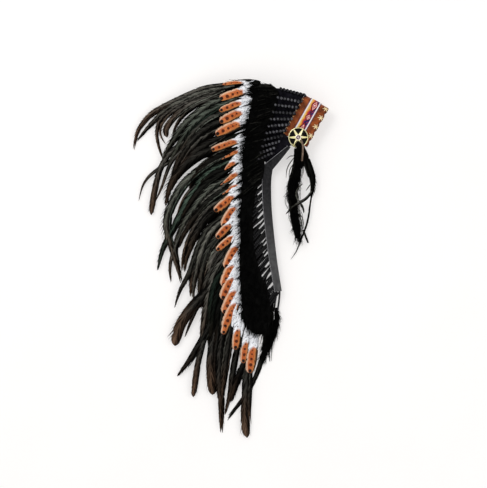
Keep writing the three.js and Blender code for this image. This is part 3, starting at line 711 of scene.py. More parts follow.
FELT = 2.0
CAP_REAR = ((134, 456), (101, 449), (80, 400), (73, 335), (80, 280))
CAP_SIDE = Vector((168.0, 314.0))
NAPE = Vector((104.0, 245.0))
NAPE_HEIGHT = 14.0
NAPE_HALF_GAP = 5.0
RIM_ROUND = 20.0
SEAM_GAP = 0.5
CROWN_EDGE = -BAND_WIDTH / 2 - SEAM_GAP
RIM_LENGTH = (NAPE - FOLD_CENTRE).dot(BAND_BACK)
RIM_STEPS = (18, 6, 16)
CAP_FULLNESS = 6
CAP_COLUMNS = 11


def lerp(a, b, t):
    return a + (b - a) * t


def middle_at(back):
    """Height midway between the two halves, at a distance back from the front fold."""
    if back < BAND_LEG:
        return BAND_MIDDLE - BAND_SINK / 2 * max(back - FOLD_RADIUS, 0) / (BAND_LEG - FOLD_RADIUS)
    return lerp(BAND_MIDDLE - BAND_SINK / 2, NAPE_HEIGHT, (back - BAND_LEG) / (RIM_LENGTH - BAND_LEG))


def half_depth_at(back):
    """Half the distance between the outsides of the two halves."""
    if back < BAND_LEG:
        return middle_at(back) - BAND_UNDERSIDE
    return lerp(middle_at(BAND_LEG) - BAND_UNDERSIDE, NAPE_HALF_GAP, (back - BAND_LEG) / (RIM_LENGTH - BAND_LEG))


def round_off(distance, radius):
    """Share of the full depth near a rounded end."""
    return 1.0 if distance >= radius else math.sqrt(max(0.0, 1 - (1 - distance / radius) ** 2))


def top_at(back):
    return middle_at(back) + half_depth_at(back) * round_off(back, FOLD_RADIUS)


def cap_skin(inset):
    """Rows of points on one skin of the pouch, each from the upper rim over the closed edge to the lower rim."""
    middle = on_band(BAND_LEG + SEAM_GAP, CROWN_EDGE)
    corners = [on_band(inset, CROWN_EDGE), middle, CAP_SIDE, NAPE - BAND_BACK * inset]
    rim = []
    for k, steps in enumerate(RIM_STEPS):
        rim += [corners[k].lerp(corners[k + 1], (i / steps) ** (1.5 if k == 0 else 1)) for i in range(steps)]
    rim.append(corners[3])
    drawn_in = [Vector(p).lerp(middle, inset / (Vector(p) - middle).length) for p in CAP_REAR]
    rear = smooth_line([corners[0], *drawn_in, corners[3]], len(rim))
    rows = []
    for front, back_point in zip(rim, rear):
        back = (front - FOLD_CENTRE).dot(BAND_BACK)
        depth = (half_depth_at(back) - inset) * round_off(back - inset, FOLD_RADIUS - inset) \
            * round_off(RIM_LENGTH - inset - back, RIM_ROUND - inset)
        row = []
        for c in range(2 * CAP_COLUMNS + 1):
            share = 1 - abs(c / CAP_COLUMNS - 1) ** 1.6
            side = 1 if c < CAP_COLUMNS else -1
            lift = side * depth * math.sqrt(max(0.0, 1 - share ** CAP_FULLNESS))
            row.append(at(front.lerp(back_point, share), middle_at(back) + lift))
        rows.append(row)
    return rows


felt_material = mottled_material("black_felt", 0.95, (0.0010, 0.0010, 0.0021), (0.0105, 0.0098, 0.0150), (70.0, 1300.0),
                                 (0.0006, 0.9), Specular_IOR_Level=0.08, Sheen_Weight=0.02)
outer = cap_skin(0.0)
inner = cap_skin(FELT)
width = len(outer[0])
inside = len(outer) * width
faces = []
for r in range(len(outer) - 1):
    for c in range(width - 1):
        a = r * width + c
        faces.append((a, a + 1, a + width + 1, a + width))
        faces.append((inside + a, inside + a + width, inside + a + width + 1, inside + a + 1))
    for c in (0, width - 1):
        a = r * width + c
        faces.append((a, a + width, inside + a + width, inside + a))
cap_mesh = bpy.data.meshes.new("felt_cap")
cap_mesh.from_pydata([p for row in outer + inner for p in row], [], faces)
work = bmesh.new()
work.from_mesh(cap_mesh)
bmesh.ops.remove_doubles(work, verts=work.verts, dist=2e-5)
bmesh.ops.dissolve_degenerate(work, edges=work.edges, dist=1e-6)
work.to_mesh(cap_mesh)
work.free()
close_up(cap_mesh, felt_material, 60)
cap = place("felt_cap", cap_mesh, "black_felt", "crown_cap")

# Rim bindings
# A narrow felt strip sewn over the cap's rim on each side, from the rosette to the nape. A thin pale rod along its
# upper edge is a painted highlight on the felt's edge.

BINDING = 1.5
BINDING_OUTER = ((159, 299), (136, 270), (111, 240))
BINDING_INNER = ((151, 303), (120, 279), (84, 251))
RIGHT_LAY = 14.6
LEFT_LAY = 13.4
QUILL_OUT = 7.7
BINDING_GAP = 0.5
RIM_BACK = 14.0
STRIP_MIDDLE = (RIGHT_LAY + LEFT_LAY) / 2
STRIP_HALF_DEPTH = RIGHT_LAY + QUILL_OUT + 0.5 + FELT - STRIP_MIDDLE

strip_material, tree, shader = new_material("grey_felt", 0.92, Specular_IOR_Level=0.10, Sheen_Weight=0.03)
colour, grain = mottled(tree, (0.005, 0.005, 0.006), (0.030, 0.030, 0.032), 160.0, 1300.0)
strip_down = parts_of(tree, object_place(tree))[1]
wear_and_highlight = blend(tree, grain, (0.045, 0.045, 0.046), (0.115, 0.115, 0.117))
faded = blend(tree, ramp(tree, strip_down, 0.19, -0.07), colour, wear_and_highlight)
worn_patch = ramp(tree, noise(tree, object_place(tree), 85.0), 0.40, 0.68)
paint(tree, shader, blend(tree, product(tree, worn_patch, 0.5), faded, (0.020, 0.020, 0.021)))
emboss(tree, shader, grain, 0.0006, 0.9)
# The pale rods on the bindings and along the strip's cut edge are a painted highlight on the felt's edges.
edge_highlight_material = mottled_material("pale_thread", 0.8, (0.20, 0.20, 0.21), (0.42, 0.42, 0.44), THREAD_SCALES,
                                 (0.0003, 0.6), Specular_IOR_Level=0.2)


def rim_height(point, out):
    """Height of the cap's outside under the binding."""
    back = (Vector(point) - FOLD_CENTRE).dot(BAND_BACK) - RIM_BACK
    return middle_at(back) + out * (half_depth_at(back) * round_off(RIM_LENGTH - back, RIM_ROUND) + BINDING_GAP)


def smooth_step(value, low, high):
    t = min(max((value - low) / (high - low), 0.0), 1.0)
    return t * t * (3 - 2 * t)


def binding_height(point, share, out):
    """Height of what is under the binding, which leads from the cap's rim on to the folded strip's top end."""
    return lerp(rim_height(point, out), STRIP_MIDDLE + out * (STRIP_HALF_DEPTH + 0.3), smooth_step(share, 0.35, 0.72))


def tube(name, lines, radius, material, sides=6):
    """Round rods along lines of frame points, as one closed mesh."""
    mesh = bpy.data.meshes.new(name)
    work = bmesh.new()
    for line in lines:
        rings = []
        for i, p in enumerate(line):
            ahead = (line[min(i + 1, len(line) - 1)] - line[max(i - 1, 0)]).normalized()
            side = ahead.cross(UP).normalized() if abs(ahead.z) < 0.95 else Vector((1, 0, 0))
            over = side.cross(ahead)
            r = radius(i / (len(line) - 1)) if callable(radius) else radius
            turns = [k * math.tau / sides for k in range(sides)]
            rings.append([work.verts.new(p + (side * math.cos(a) + over * math.sin(a)) * r) for a in turns])
        bridge(work, rings)
    work.to_mesh(mesh)
    work.free()
    return close_up(mesh, material, 70)


SIDES = (("right", 1), ("left", -1))
BINDING_SECTION = ((0, 0.1), (0, 0.7), (0.06, 1), (0.3, 1.05), (0.7, 1.05), (0.94, 1), (1, 0.7), (1, 0.1), (0.5, 0))
for side, out in SIDES:
    rings = []
    for share in (0, 0.04, 0.25, 0.42, 0.58, 0.75, 0.88, 0.96, 1):
        outer_edge, inner_edge = (smooth_line(edge, 25)[round(share * 24)] for edge in (BINDING_OUTER, BINDING_INNER))
        ring = []
        for across, lift in BINDING_SECTION:
            p = outer_edge.lerp(inner_edge, across)
            ring.append(at(p, binding_height(p, share, out) + out * BINDING * lift))
        rings.append(ring)
    binding = loft(f"{side}_felt_binding", rings, strip_material)
    place(f"{side}_felt_binding", binding, "grey_felt", f"{side}_rim_binding")
    # A pale rod near the binding's upper edge: a painted highlight.
    highlight_path = smooth_line([Vector(p).lerp(Vector(q), 0.05) for p, q in zip(BINDING_INNER, BINDING_OUTER)], 40)
    highlight_line = [at(p, binding_height(p, k / 39, out) + out * (BINDING + 0.15)) for k, p in enumerate(highlight_path)]
    place(f"{side}_binding_edge", tube(f"{side}_binding_edge", [highlight_line], 0.00050, edge_highlight_material), "grey_felt")

# Trailer strip
# A long strip of felt folded lengthwise over the quills, its fold forward. It is black at the nape and faded
# grey lower down. A thin pale rod along its cut edge, on both sides, is a painted highlight on the felt's edge.

STRIP_FOLD = ((113, 248), (108, 212), (108, 158), (112, 100), (123, 0), (136, -84))
STRIP_WIDTHS = (26.0, 20.0)


def left_of(points, i):
    """Unit vector to the left of a plan path at one of its points."""
    step = points[min(i + 1, len(points) - 1)].xy - points[max(i - 1, 0)].xy
    return Vector((-step.y, step.x)).normalized()


def strip_ring(width, wobble):
    """Section of the folded strip as (distance back from the fold, height from the middle), round its outside and in."""
    turns = 12
    ring = []
    for radius, order in ((STRIP_HALF_DEPTH, range(turns + 1)), (STRIP_HALF_DEPTH - FELT, range(turns, -1, -1))):
        arc = [(STRIP_HALF_DEPTH - radius * math.sin(math.pi * k / turns), radius * math.cos(math.pi * k / turns))
               for k in order]
        flat = [lerp(STRIP_HALF_DEPTH, width + wobble, s) for s in (0.35, 0.7, 1.0)]
        up, down = [(d, radius) for d in flat], [(d, -radius) for d in flat]
        ring += up[::-1] + arc + down if radius == STRIP_HALF_DEPTH else down[::-1] + arc + up
    return ring


strip_path = smooth_line(STRIP_FOLD, 60)
dice = random.Random(11)
strip_rings = []
for i, p in enumerate(strip_path):
    away = left_of(strip_path, i) * -1
    width = lerp(*STRIP_WIDTHS, i / (len(strip_path) - 1))
    ring = strip_ring(width, dice.uniform(-0.35, 0.35))
    strip_rings.append([at(p + away * back, STRIP_MIDDLE + height * (1 + 0.012 * math.sin(i * 0.45 + back * 0.2)))
                        for back, height in ring])
strip_mesh = loft("trailer_felt", strip_rings, strip_material, sharp=60)
strip_piece = place("trailer_felt", strip_mesh, "grey_felt", "trailer_strip")
# Pale rods along the strip's cut edge, on both sides: a painted highlight.
highlight_lines = []
for up in (1, -1):
    line = []
    for i, p in enumerate(strip_path):
        width = lerp(*STRIP_WIDTHS, i / (len(strip_path) - 1))
        line.append(at(p - left_of(strip_path, i) * (width - 1.0), STRIP_MIDDLE + up * (STRIP_HALF_DEPTH + 0.25)))
    highlight_lines.append(line)
place("strip_edge_thread", tube("strip_edge_thread", highlight_lines, 0.00045, edge_highlight_material), "grey_felt")

# Rosettes
# A cast gilt ring with a six-pointed star, on a black leather disc. A domed rose-metal stud in a dark bezel
# holds it to the band.

ROSETTE_RADIUS = 26.5
RING_WIDTH = 2.4
STAR_TIP = ROSETTE_RADIUS - RING_WIDTH + 0.6
STAR_VALLEY = 7.6
TIP_TURN = 0.05
RIDGE_REACH = 0.93
BACKING = 1.0


def lathe(profile, steps=40):
    """Vertices and faces of a turned shape from (radius, height) pairs that start and end on the axis."""
    verts = [(0, 0, profile[0][1])]
    for radius, height in profile[1:-1]:
        turns = [math.tau * k / steps for k in range(steps)]
        verts += [(radius * math.cos(a), radius * math.sin(a), height) for a in turns]
    verts.append((0, 0, profile[-1][1]))
    last = len(verts) - 1
    faces = [(0, 1 + (k + 1) % steps, 1 + k) for k in range(steps)]
    for r in range(len(profile) - 3):
        a = 1 + r * steps
        faces += [(a + k, a + (k + 1) % steps, a + steps + (k + 1) % steps, a + steps + k) for k in range(steps)]
    a = 1 + (len(profile) - 3) * steps
    faces += [(a + k, a + (k + 1) % steps, last) for k in range(steps)]
    return verts, faces


def ring_solid(major, half_width, half_height, middle, steps=72, sides=10):
    """Vertices and faces of a round ring."""
    verts, faces = [], []
    for k in range(steps):
        turn = math.tau * k / steps
        for s in range(sides):
            angle = math.tau * s / sides
            radius = major + half_width * math.cos(angle)
            verts.append((radius * math.cos(turn), radius * math.sin(turn), middle + half_height * math.sin(angle)))
    for k in range(steps):
        for s in range(sides):
            a, b = k * sides, ((k + 1) % steps) * sides
            faces.append((a + s, b + s, b + (s + 1) % sides, a + (s + 1) % sides))
    return verts, faces


def star_solid(points, tip, valley, base, edge, ridge):
    """Vertices and faces of a star whose arms rise to a ridge."""
    outline, ridge_row = [], []
    for k in range(points):
        turn = math.tau * (k + 0.5) / points
        for shift in (-TIP_TURN, TIP_TURN):
            outline.append((tip * math.cos(turn + shift), tip * math.sin(turn + shift)))
        ridge_row.append((RIDGE_REACH * tip * math.cos(turn), RIDGE_REACH * tip * math.sin(turn), edge + 0.9))
        turn += math.pi / points
        outline.append((valley * math.cos(turn), valley * math.sin(turn)))
    count = len(outline)
    verts = [(x, y, base) for x, y in outline] + [(x, y, edge) for x, y in outline]
    verts += ridge_row + [(0, 0, ridge), (0, 0, base)]
    crest, foot = len(verts) - 2, len(verts) - 1
    faces = []
    for i in range(count):
        j = (i + 1) % count
        faces.append((i, j, count + j, count + i))
        faces.append((j, i, foot))
    for k in range(points):
        low, high, dip = count + 3 * k, count + 3 * k + 1, count + 3 * k + 2
        before = count + (3 * k - 1) % count
        top = 2 * count + k
        faces += [(low, high, top), (high, dip, top), (before, low, top), (dip, crest, top), (crest, before, top)]
    return verts, faces


def joined(name, solids, matrix, material, sharp=35):
    """Closed solids as one mesh, moved into the frame."""
    verts, faces = [], []
    for solid_verts, solid_faces in solids:
        faces += [tuple(i + len(verts) for i in f) for f in solid_faces]
        verts += [matrix @ (Vector(v) * MM) for v in solid_verts]
    mesh = bpy.data.meshes.new(name)
    mesh.from_pydata(verts, [], faces)
    return close_up(mesh, material, sharp)


gold_material = mottled_material("pale_gilt", 0.25, (0.72, 0.64, 0.26), (0.97, 0.93, 0.62), (110.0, 900.0),
                                 (0.0002, 0.35), (0.25, 0.14), Metallic=0.75)
disc_material = mottled_material("black_leather", 0.7, (0.001, 0.001, 0.001), (0.006, 0.0055, 0.005), (150.0, 900.0),
                                 (0.0004, 0.5), Specular_IOR_Level=0.08)
stud_material, tree, shader = new_material("rose_stud", 0.22, Metallic=0.6)
colour, grain = mottled(tree, (0.78, 0.64, 0.60), (0.97, 0.90, 0.88), 200.0, 1500.0)
from_axis = parts_of(tree, result(tree, "ShaderNodeUVMap"))[0]
dark_ring = product(tree, ramp(tree, from_axis, 0.0022, 0.0028), ramp(tree, from_axis, 0.0056, 0.0050))
paint(tree, shader, blend(tree, dark_ring, colour, (0.09, 0.045, 0.045)))
emboss(tree, shader, grain, 0.0002, 0.25)

# Radius and height round the disc and the stud.
DISC_PROFILE = ((0, 0), (24.6, 0), (25.5, 0.25), (25.5, 0.75), (24.6, 1.0), (0, 1.0))
STUD_PROFILE = ((0, 3.9), (7.0, 3.9), (7.2, 4.3), (7.0, 4.9), (6.2, 5.2), (5.4, 4.9), (5.1, 4.9), (4.6, 5.5), (3.4, 6.2),
                (1.8, 6.6), (0.9, 6.65), (0.7, 6.4), (0, 6.3))
for side, out in SIDES:
    tilt = math.atan2(BAND_SINK, BAND_LEG - FOLD_RADIUS) if out > 0 else 0.0
    outside = top_at(ROSETTE_ALONG) if out > 0 else BAND_UNDERSIDE
    normal = Vector((*(BAND_BACK * math.sin(tilt)), math.cos(tilt) * out))
    forward = Vector((*BAND_DOWN, 0))
    seat = at(on_band(ROSETTE_ALONG, ROSETTE_ACROSS), outside + out * (TRIM_THICK + 1.0))
    stand = Matrix.Translation(seat) @ Matrix((forward, normal.cross(forward), normal)).transposed().to_4x4()
    disc = joined(f"{side}_leather_disc", [lathe(DISC_PROFILE)], stand, disc_material)
    place(f"{side}_leather_disc", disc, "black_felt", f"{side}_rosette_backing")
    rim = ring_solid(ROSETTE_RADIUS - RING_WIDTH / 2, RING_WIDTH / 2, 1.0, BACKING + 1.5)
    star_arms = star_solid(6, STAR_TIP, STAR_VALLEY, BACKING + 0.5, BACKING + 0.9, BACKING + 3.4)
    gilt = joined(f"{side}_gilt_star", [rim, star_arms], stand, gold_material)
    place(f"{side}_gilt_star", gilt, "gold", f"{side}_rosette")
    stud_mesh = joined(f"{side}_dome_stud", [lathe(STUD_PROFILE, 36)], stand, stud_material)
    stud_uv = stud_mesh.uv_layers.new(name="UVMap")
    for loop in stud_mesh.loops:
        local = stand.inverted() @ stud_mesh.vertices[loop.vertex_index].co
        stud_uv.data[loop.index].uv = (local.xy.length, local.z)
    place(f"{side}_dome_stud", stud_mesh, "stud_metal", f"{side}_rosette_stud")

# Quill wraps
# Each crown quill is wound with thick black cord where it leaves the band, so it shows as a row of round turns.
# The wound quills fan from the brow to the nape, and the first on each side lies against the cap's front fold.

WRAP_LENGTHS = (70.0, 50.0)
WRAP_ANGLES = (-15.0, 24.0)
FIRST_WRAP = {"right": 2.0, "left": 9.0}
WRAP_LAP = {"right": 4.0, "left": -0.5}
WRAP_GAP = 0.5
FOLD_GAP = 0.3
# Cord, wound and core radius and the distance from turn to turn, on each side; the lower ones are pressed flat.
WRAPS = {"right": (3.7, 1.7, 2.6, 9.2), "left": (2.9, 1.5, 2.2, 9.2)}
# How strong the painted highlight on the crests of each wrap is, from the first wrap to the last.
WRAP_CREST_HIGHLIGHTS = (0.3, 1.0, 0.9, 0.35, 0.9, 1.0, 0.8, 0.35, 0.8, 0.9, 0.5)


def heading(degrees):
    """Plan direction at an angle below straight back."""
    return Vector((-math.cos(math.radians(degrees)), -math.sin(math.radians(degrees))))


def skeleton(name, lines):
    """A mesh of open lines. Each line is (points, values), and its named values go on all its points."""
    verts, edges = [], []
    attributes = {key: [] for key in lines[0][1]}
    for points, values in lines:
        edges += [(len(verts) + i, len(verts) + i + 1) for i in range(len(points) - 1)]
        verts += [tuple(p) for p in points]
        for key in attributes:
            attributes[key] += [float(values[key])] * len(points)
    mesh = bpy.data.meshes.new(name)
    mesh.from_pydata(verts, edges, [])
    set_attributes(mesh, attributes)
    return mesh


def along_vector(tree, vector, amount):
    """Socket of a vector times a value."""
    return result(tree, "ShaderNodeVectorMath", {0: vector, "Scale": amount}, operation="SCALE")


def vector_sum(tree, *vectors):
    total = vectors[0]
    for vector in vectors[1:]:
        total = result(tree, "ShaderNodeVectorMath", {0: total, 1: vector}, operation="ADD")
    return total


def cross(tree, a, b):
    return result(tree, "ShaderNodeVectorMath", {0: a, 1: b}, operation="CROSS_PRODUCT")


def store(tree, geometry, **values):
    """The geometry with named values stored on its points."""
    for key, socket in values.items():
        geometry = result(tree, "GeometryNodeStoreNamedAttribute", {"Geometry": geometry, "Name": key, "Value": socket},
                          data_type="FLOAT_VECTOR" if socket.type == "VECTOR" else "FLOAT", domain="POINT")
    return geometry


def winding_group():
    """A tree that winds cord round a core along every line, from each line's own 'phase'."""
    tree, group_in, group_out = new_tree("Wind cord", {
        "Pitch": 0.008, "Cord Radius": 0.003, "Wound Radius": 0.0012, "Core Radius": 0.002, "Steps": 9.0, "Taper": -0.16})
    value = group_in.outputs
    curve = result(tree, "GeometryNodeMeshToCurve", {"Mesh": value["Geometry"]})
    step = calc(tree, "DIVIDE", value["Pitch"], value["Steps"])
    fine = result(tree, "GeometryNodeResampleCurve", {"Curve": curve, "Length": step}, mode="LENGTH")
    spot = add(tree, "GeometryNodeSplineParameter").outputs
    ahead = result(tree, "GeometryNodeInputTangent")
    side = cross(tree, (0.0, 0.0, 1.0), ahead)
    over = cross(tree, ahead, side)
    angle = scaled(tree, calc(tree, "DIVIDE", spot["Length"], value["Pitch"]), math.tau, named(tree, "phase"))
    rise = calc(tree, "SINE", angle)
    offset = vector_sum(tree, along_vector(tree, side, product(tree, calc(tree, "COSINE", angle), value["Wound Radius"])),
                        along_vector(tree, over, product(tree, rise, value["Wound Radius"])))
    crested = store(tree, fine, crest=calc(tree, "ABSOLUTE", rise))
    helix = result(tree, "GeometryNodeSetPosition", {"Geometry": crested, "Offset": offset})
    taper = scaled(tree, spot["Factor"], value["Taper"], 1.0)
    both = tree.nodes.new("GeometryNodeJoinGeometry")
    for line, radius, sides in ((helix, value["Cord Radius"], 6), (curve, value["Core Radius"], 7)):
        section = result(tree, "GeometryNodeCurvePrimitiveCircle", {"Resolution": sides, "Radius": radius})
        rod = result(tree, "GeometryNodeCurveToMesh", {"Curve": line, "Profile Curve": section, "Scale": taper,
                                                       "Fill Caps": True})
        tree.links.new(rod, both.inputs[0])
    real = result(tree, "GeometryNodeRealizeInstances", {0: both.outputs[0]})
    return close_tree(tree, group_in, group_out, real)


def shade_value(tree, name):
    """Socket of a mesh's named value, in a material."""
    return add(tree, "ShaderNodeAttribute", attribute_name=name).outputs["Fac"]


def against_fold(back, radius, out):
    """Height of a round quill's middle where it lies on the cap's front fold, or under it."""
    reach = max(FOLD_RADIUS - back, 0.0) / (FOLD_RADIUS + radius)
    return middle_at(back) + out * (half_depth_at(back) + radius) * math.sqrt(1 - reach ** 2)


wound_material, tree, shader = new_material("wound_cord", 0.34, Specular_IOR_Level=0.06)
colour, grain = mottled(tree, (0.0004, 0.0004, 0.0006), (0.003, 0.003, 0.004), 90.0, 1100.0)
patchy = ramp(tree, noise(tree, object_place(tree), 150.0), 0.36, 0.60)
# The crests of the turns are painted a lighter grey. This is a painted highlight, scaled by each wrap's own strength
# and broken up by patches and grain.
wear_and_highlight = product(tree, ramp(tree, shade_value(tree, "crest"), 0.45, 0.95), shade_value(tree, "rub"),
                 product(tree, scaled(tree, patchy, 0.75, 0.25), scaled(tree, grain, 0.9, 0.5)))
paint(tree, shader, blend(tree, wear_and_highlight, colour, (0.125, 0.125, 0.138)), scaled(tree, grain, 0.35, 0.16))
emboss(tree, shader, grain, 0.0004, 0.5)

winding = winding_group()
for side, out in SIDES:
    cord, wound, core, turn = WRAPS[side]
    radius = cord + wound
    quills = []
    for j in range(WRAP_COUNT):
        share = j / (WRAP_COUNT - 1)
        back = WRAP_FIRST + j * WRAP_PITCH
        height = top_at(max(back - WRAP_PITCH, FOLD_RADIUS)) + WRAP_GAP + cord + wound if out > 0 else radius
        if j == 0:
            back = FIRST_WRAP[side]
            height = max(against_fold(back, radius + FOLD_GAP, out), radius)
        start = on_band(back, CROWN_EDGE + WRAP_LAP[side])
        reach = heading(lerp(*WRAP_ANGLES, share)) * lerp(*WRAP_LENGTHS, share)
        quills.append(([at(start + reach * t, height) for t in (0, 0.5, 1)], {"phase": 1.7 * j, "rub": WRAP_CREST_HIGHLIGHTS[j]}))
    wraps = grow(f"{side}_wound_quills", skeleton("wrap_lines", quills), winding, pitch=turn * MM, cord_radius=cord * MM,
                 wound_radius=wound * MM, core_radius=core * MM, steps=10.0, material=wound_material)
    place(f"{side}_wound_quills", wraps, "black_cord", *[f"{side}_quill_wrap_{j:02d}" for j in range(1, WRAP_COUNT + 1)])

# Long plumes
# Rooster tail plumes: black, with a painted grey-green sheen on the side of the shaft towards the light and painted
# shade on the other, and brown at the tips of some. They leave a line from the crown's top to the tail, and sweep back
# and down in overlapping blades to the floor.

SPINE = ((70, 470), (48, 400), (38, 310), (25, 205), (22, 120), (24, 20), (22, -80), (34, -150), (74, -198))
UNIT_COUNT = 24
CROWN_UNITS = 9
ANGLE_SWING = 86.0
ANGLE_POWER = 0.85
PLUME_FALL = 300.0
LAYS = {"right": (35.0, RIGHT_LAY, 5.6), "left": (LEFT_LAY, LEFT_LAY, 3.2)}
REGIONS = (("crown", 0, CROWN_UNITS), ("trailer", CROWN_UNITS, UNIT_COUNT))
LIE_SOFT = 0.0022
TOP_LIMIT = 0.0665
TOP_SOFT = 0.010
BARB_BEND = 0.9
spine_points = smooth_line(SPINE, 241)
spine_marks = spine_points[::4]


def spine_at(share):
    place_on = min(max(share, 0.0), 1.0) * (len(spine_points) - 1)
    k = min(int(place_on), len(spine_points) - 2)
    return spine_points[k].lerp(spine_points[k + 1], place_on - k)


def unit_angle(share):
    return ANGLE_SWING * max(share, 0.0) ** ANGLE_POWER


def nearest_mark(point):
    return min(range(len(spine_marks)), key=lambda i: (spine_marks[i] - point).length_squared)


def lay_height(point, side):
    """Height of the surface that a half's plumes lie on."""
    crown, trailer, tip = LAYS[side]
    k = nearest_mark(point)
    away = point - spine_marks[k]
    beyond = away.length if away.dot(left_of(spine_marks, k)) < 0 else 0.0
    root = lerp(crown, trailer, smooth_step(k / (len(spine_marks) - 1), 0.03, 0.42))
    return lerp(root, tip, smooth_step(beyond, 0, PLUME_FALL))


def lay_feather(points, side, out, offset):
    """Plan points laid on a half's surface, at a distance outwards."""
    return [at(p, max(lay_height(p, side) + out * offset, 1.2)) for p in points]


def feather_line(root, start_angle, end_angle, length, stations, curl=1.5):
    """Plan points of a feather that leaves its root at one angle and ends at another."""
    fine = 48
    points = [root.copy()]
    for k in range(fine):
        angle = lerp(start_angle, end_angle, ((k + 0.5) / fine) ** curl)
        points.append(points[-1] + heading(angle) * (length / fine))
    return even_points(points, stations)


def barb_mesh(hand, stations):
    """One barb along +X, of unit length, width and thickness, bent towards the feather's tip."""
    verts, reach = [], []
    for x, wide in stations[:-1]:
        bend = -hand * BARB_BEND * x * x
        verts += [(x, bend - wide / 2, 0.0), (x, bend + wide / 2, 0.0), (x, bend, 0.5 * wide)]
        reach += [x, x, x]
    x = stations[-1][0]
    verts.append((x, -hand * BARB_BEND * x * x, 0.0))
    reach.append(x)
    last_row, tip = len(verts) - 4, len(verts) - 1
    faces = [(0, 2, 1)]
    for a in range(last_row):
        b = a + 1 if a % 3 < 2 else a - 2
        faces.append((a, b, b + 3, a + 3))
    faces += [(last_row + k, last_row + (k + 1) % 3, tip) for k in range(3)]
    mesh = bpy.data.meshes.new(f"barb_{hand}")
    mesh.from_pydata(verts, [], faces)
    set_attributes(mesh, {"reach": reach})
    return face_outwards(mesh)


def profile_curve(tree, factor, profile):
    """Socket of a smooth curve through (factor, value) pairs."""
    shape = add(tree, "ShaderNodeFloatCurve", {"Value": factor})
    points = shape.mapping.curves[0].points
    points[0].location = profile[0]
    points[1].location = profile[-1]
    for pair in profile[1:-1]:
        points.new(*pair)
    shape.mapping.update()
    return shape.outputs[0]


def settled(tree, geometry):
    """The geometry with what would go under the floor laid on it, and what stands too high pressed down."""
    x, y, height = parts_of(tree, result(tree, "GeometryNodeInputPosition"))
    for limit, room, sign in ((0.0, LIE_SOFT, 1.0), (TOP_LIMIT, TOP_SOFT, -1.0)):
        gap = product(tree, calc(tree, "SUBTRACT", height, limit), sign)
        inside = calc(tree, "MINIMUM", scaled(tree, gap, 1.0 / room, -1.0), 0.0)
        eased = product(tree, calc(tree, "EXPONENT", inside), room)
        height = scaled(tree, calc(tree, "MAXIMUM", gap, eased), sign, limit)
    return result(tree, "GeometryNodeSetPosition", {"Geometry": geometry, "Position": xyz(tree, x, y, height)})


def vane_section():
    """Cross-section of a feather's vane as a ring, with each point's place across and the skin it is on."""
    lateral = [-1.0, -0.6, 0.0, 0.6, 1.0, 0.6, 0.0, -0.6]
    skin = [0.0, -1.0, -1.0, -1.0, 0.0, 1.0, 1.0, 1.0]
    mesh = bpy.data.meshes.new("vane_section")
    mesh.from_pydata([(x, 0.2 * s, 0) for x, s in zip(lateral, skin)], [(i, (i + 1) % 8) for i in range(8)], [])
    set_attributes(mesh, {"lateral": lateral, "skin": skin})
    return helper(mesh)


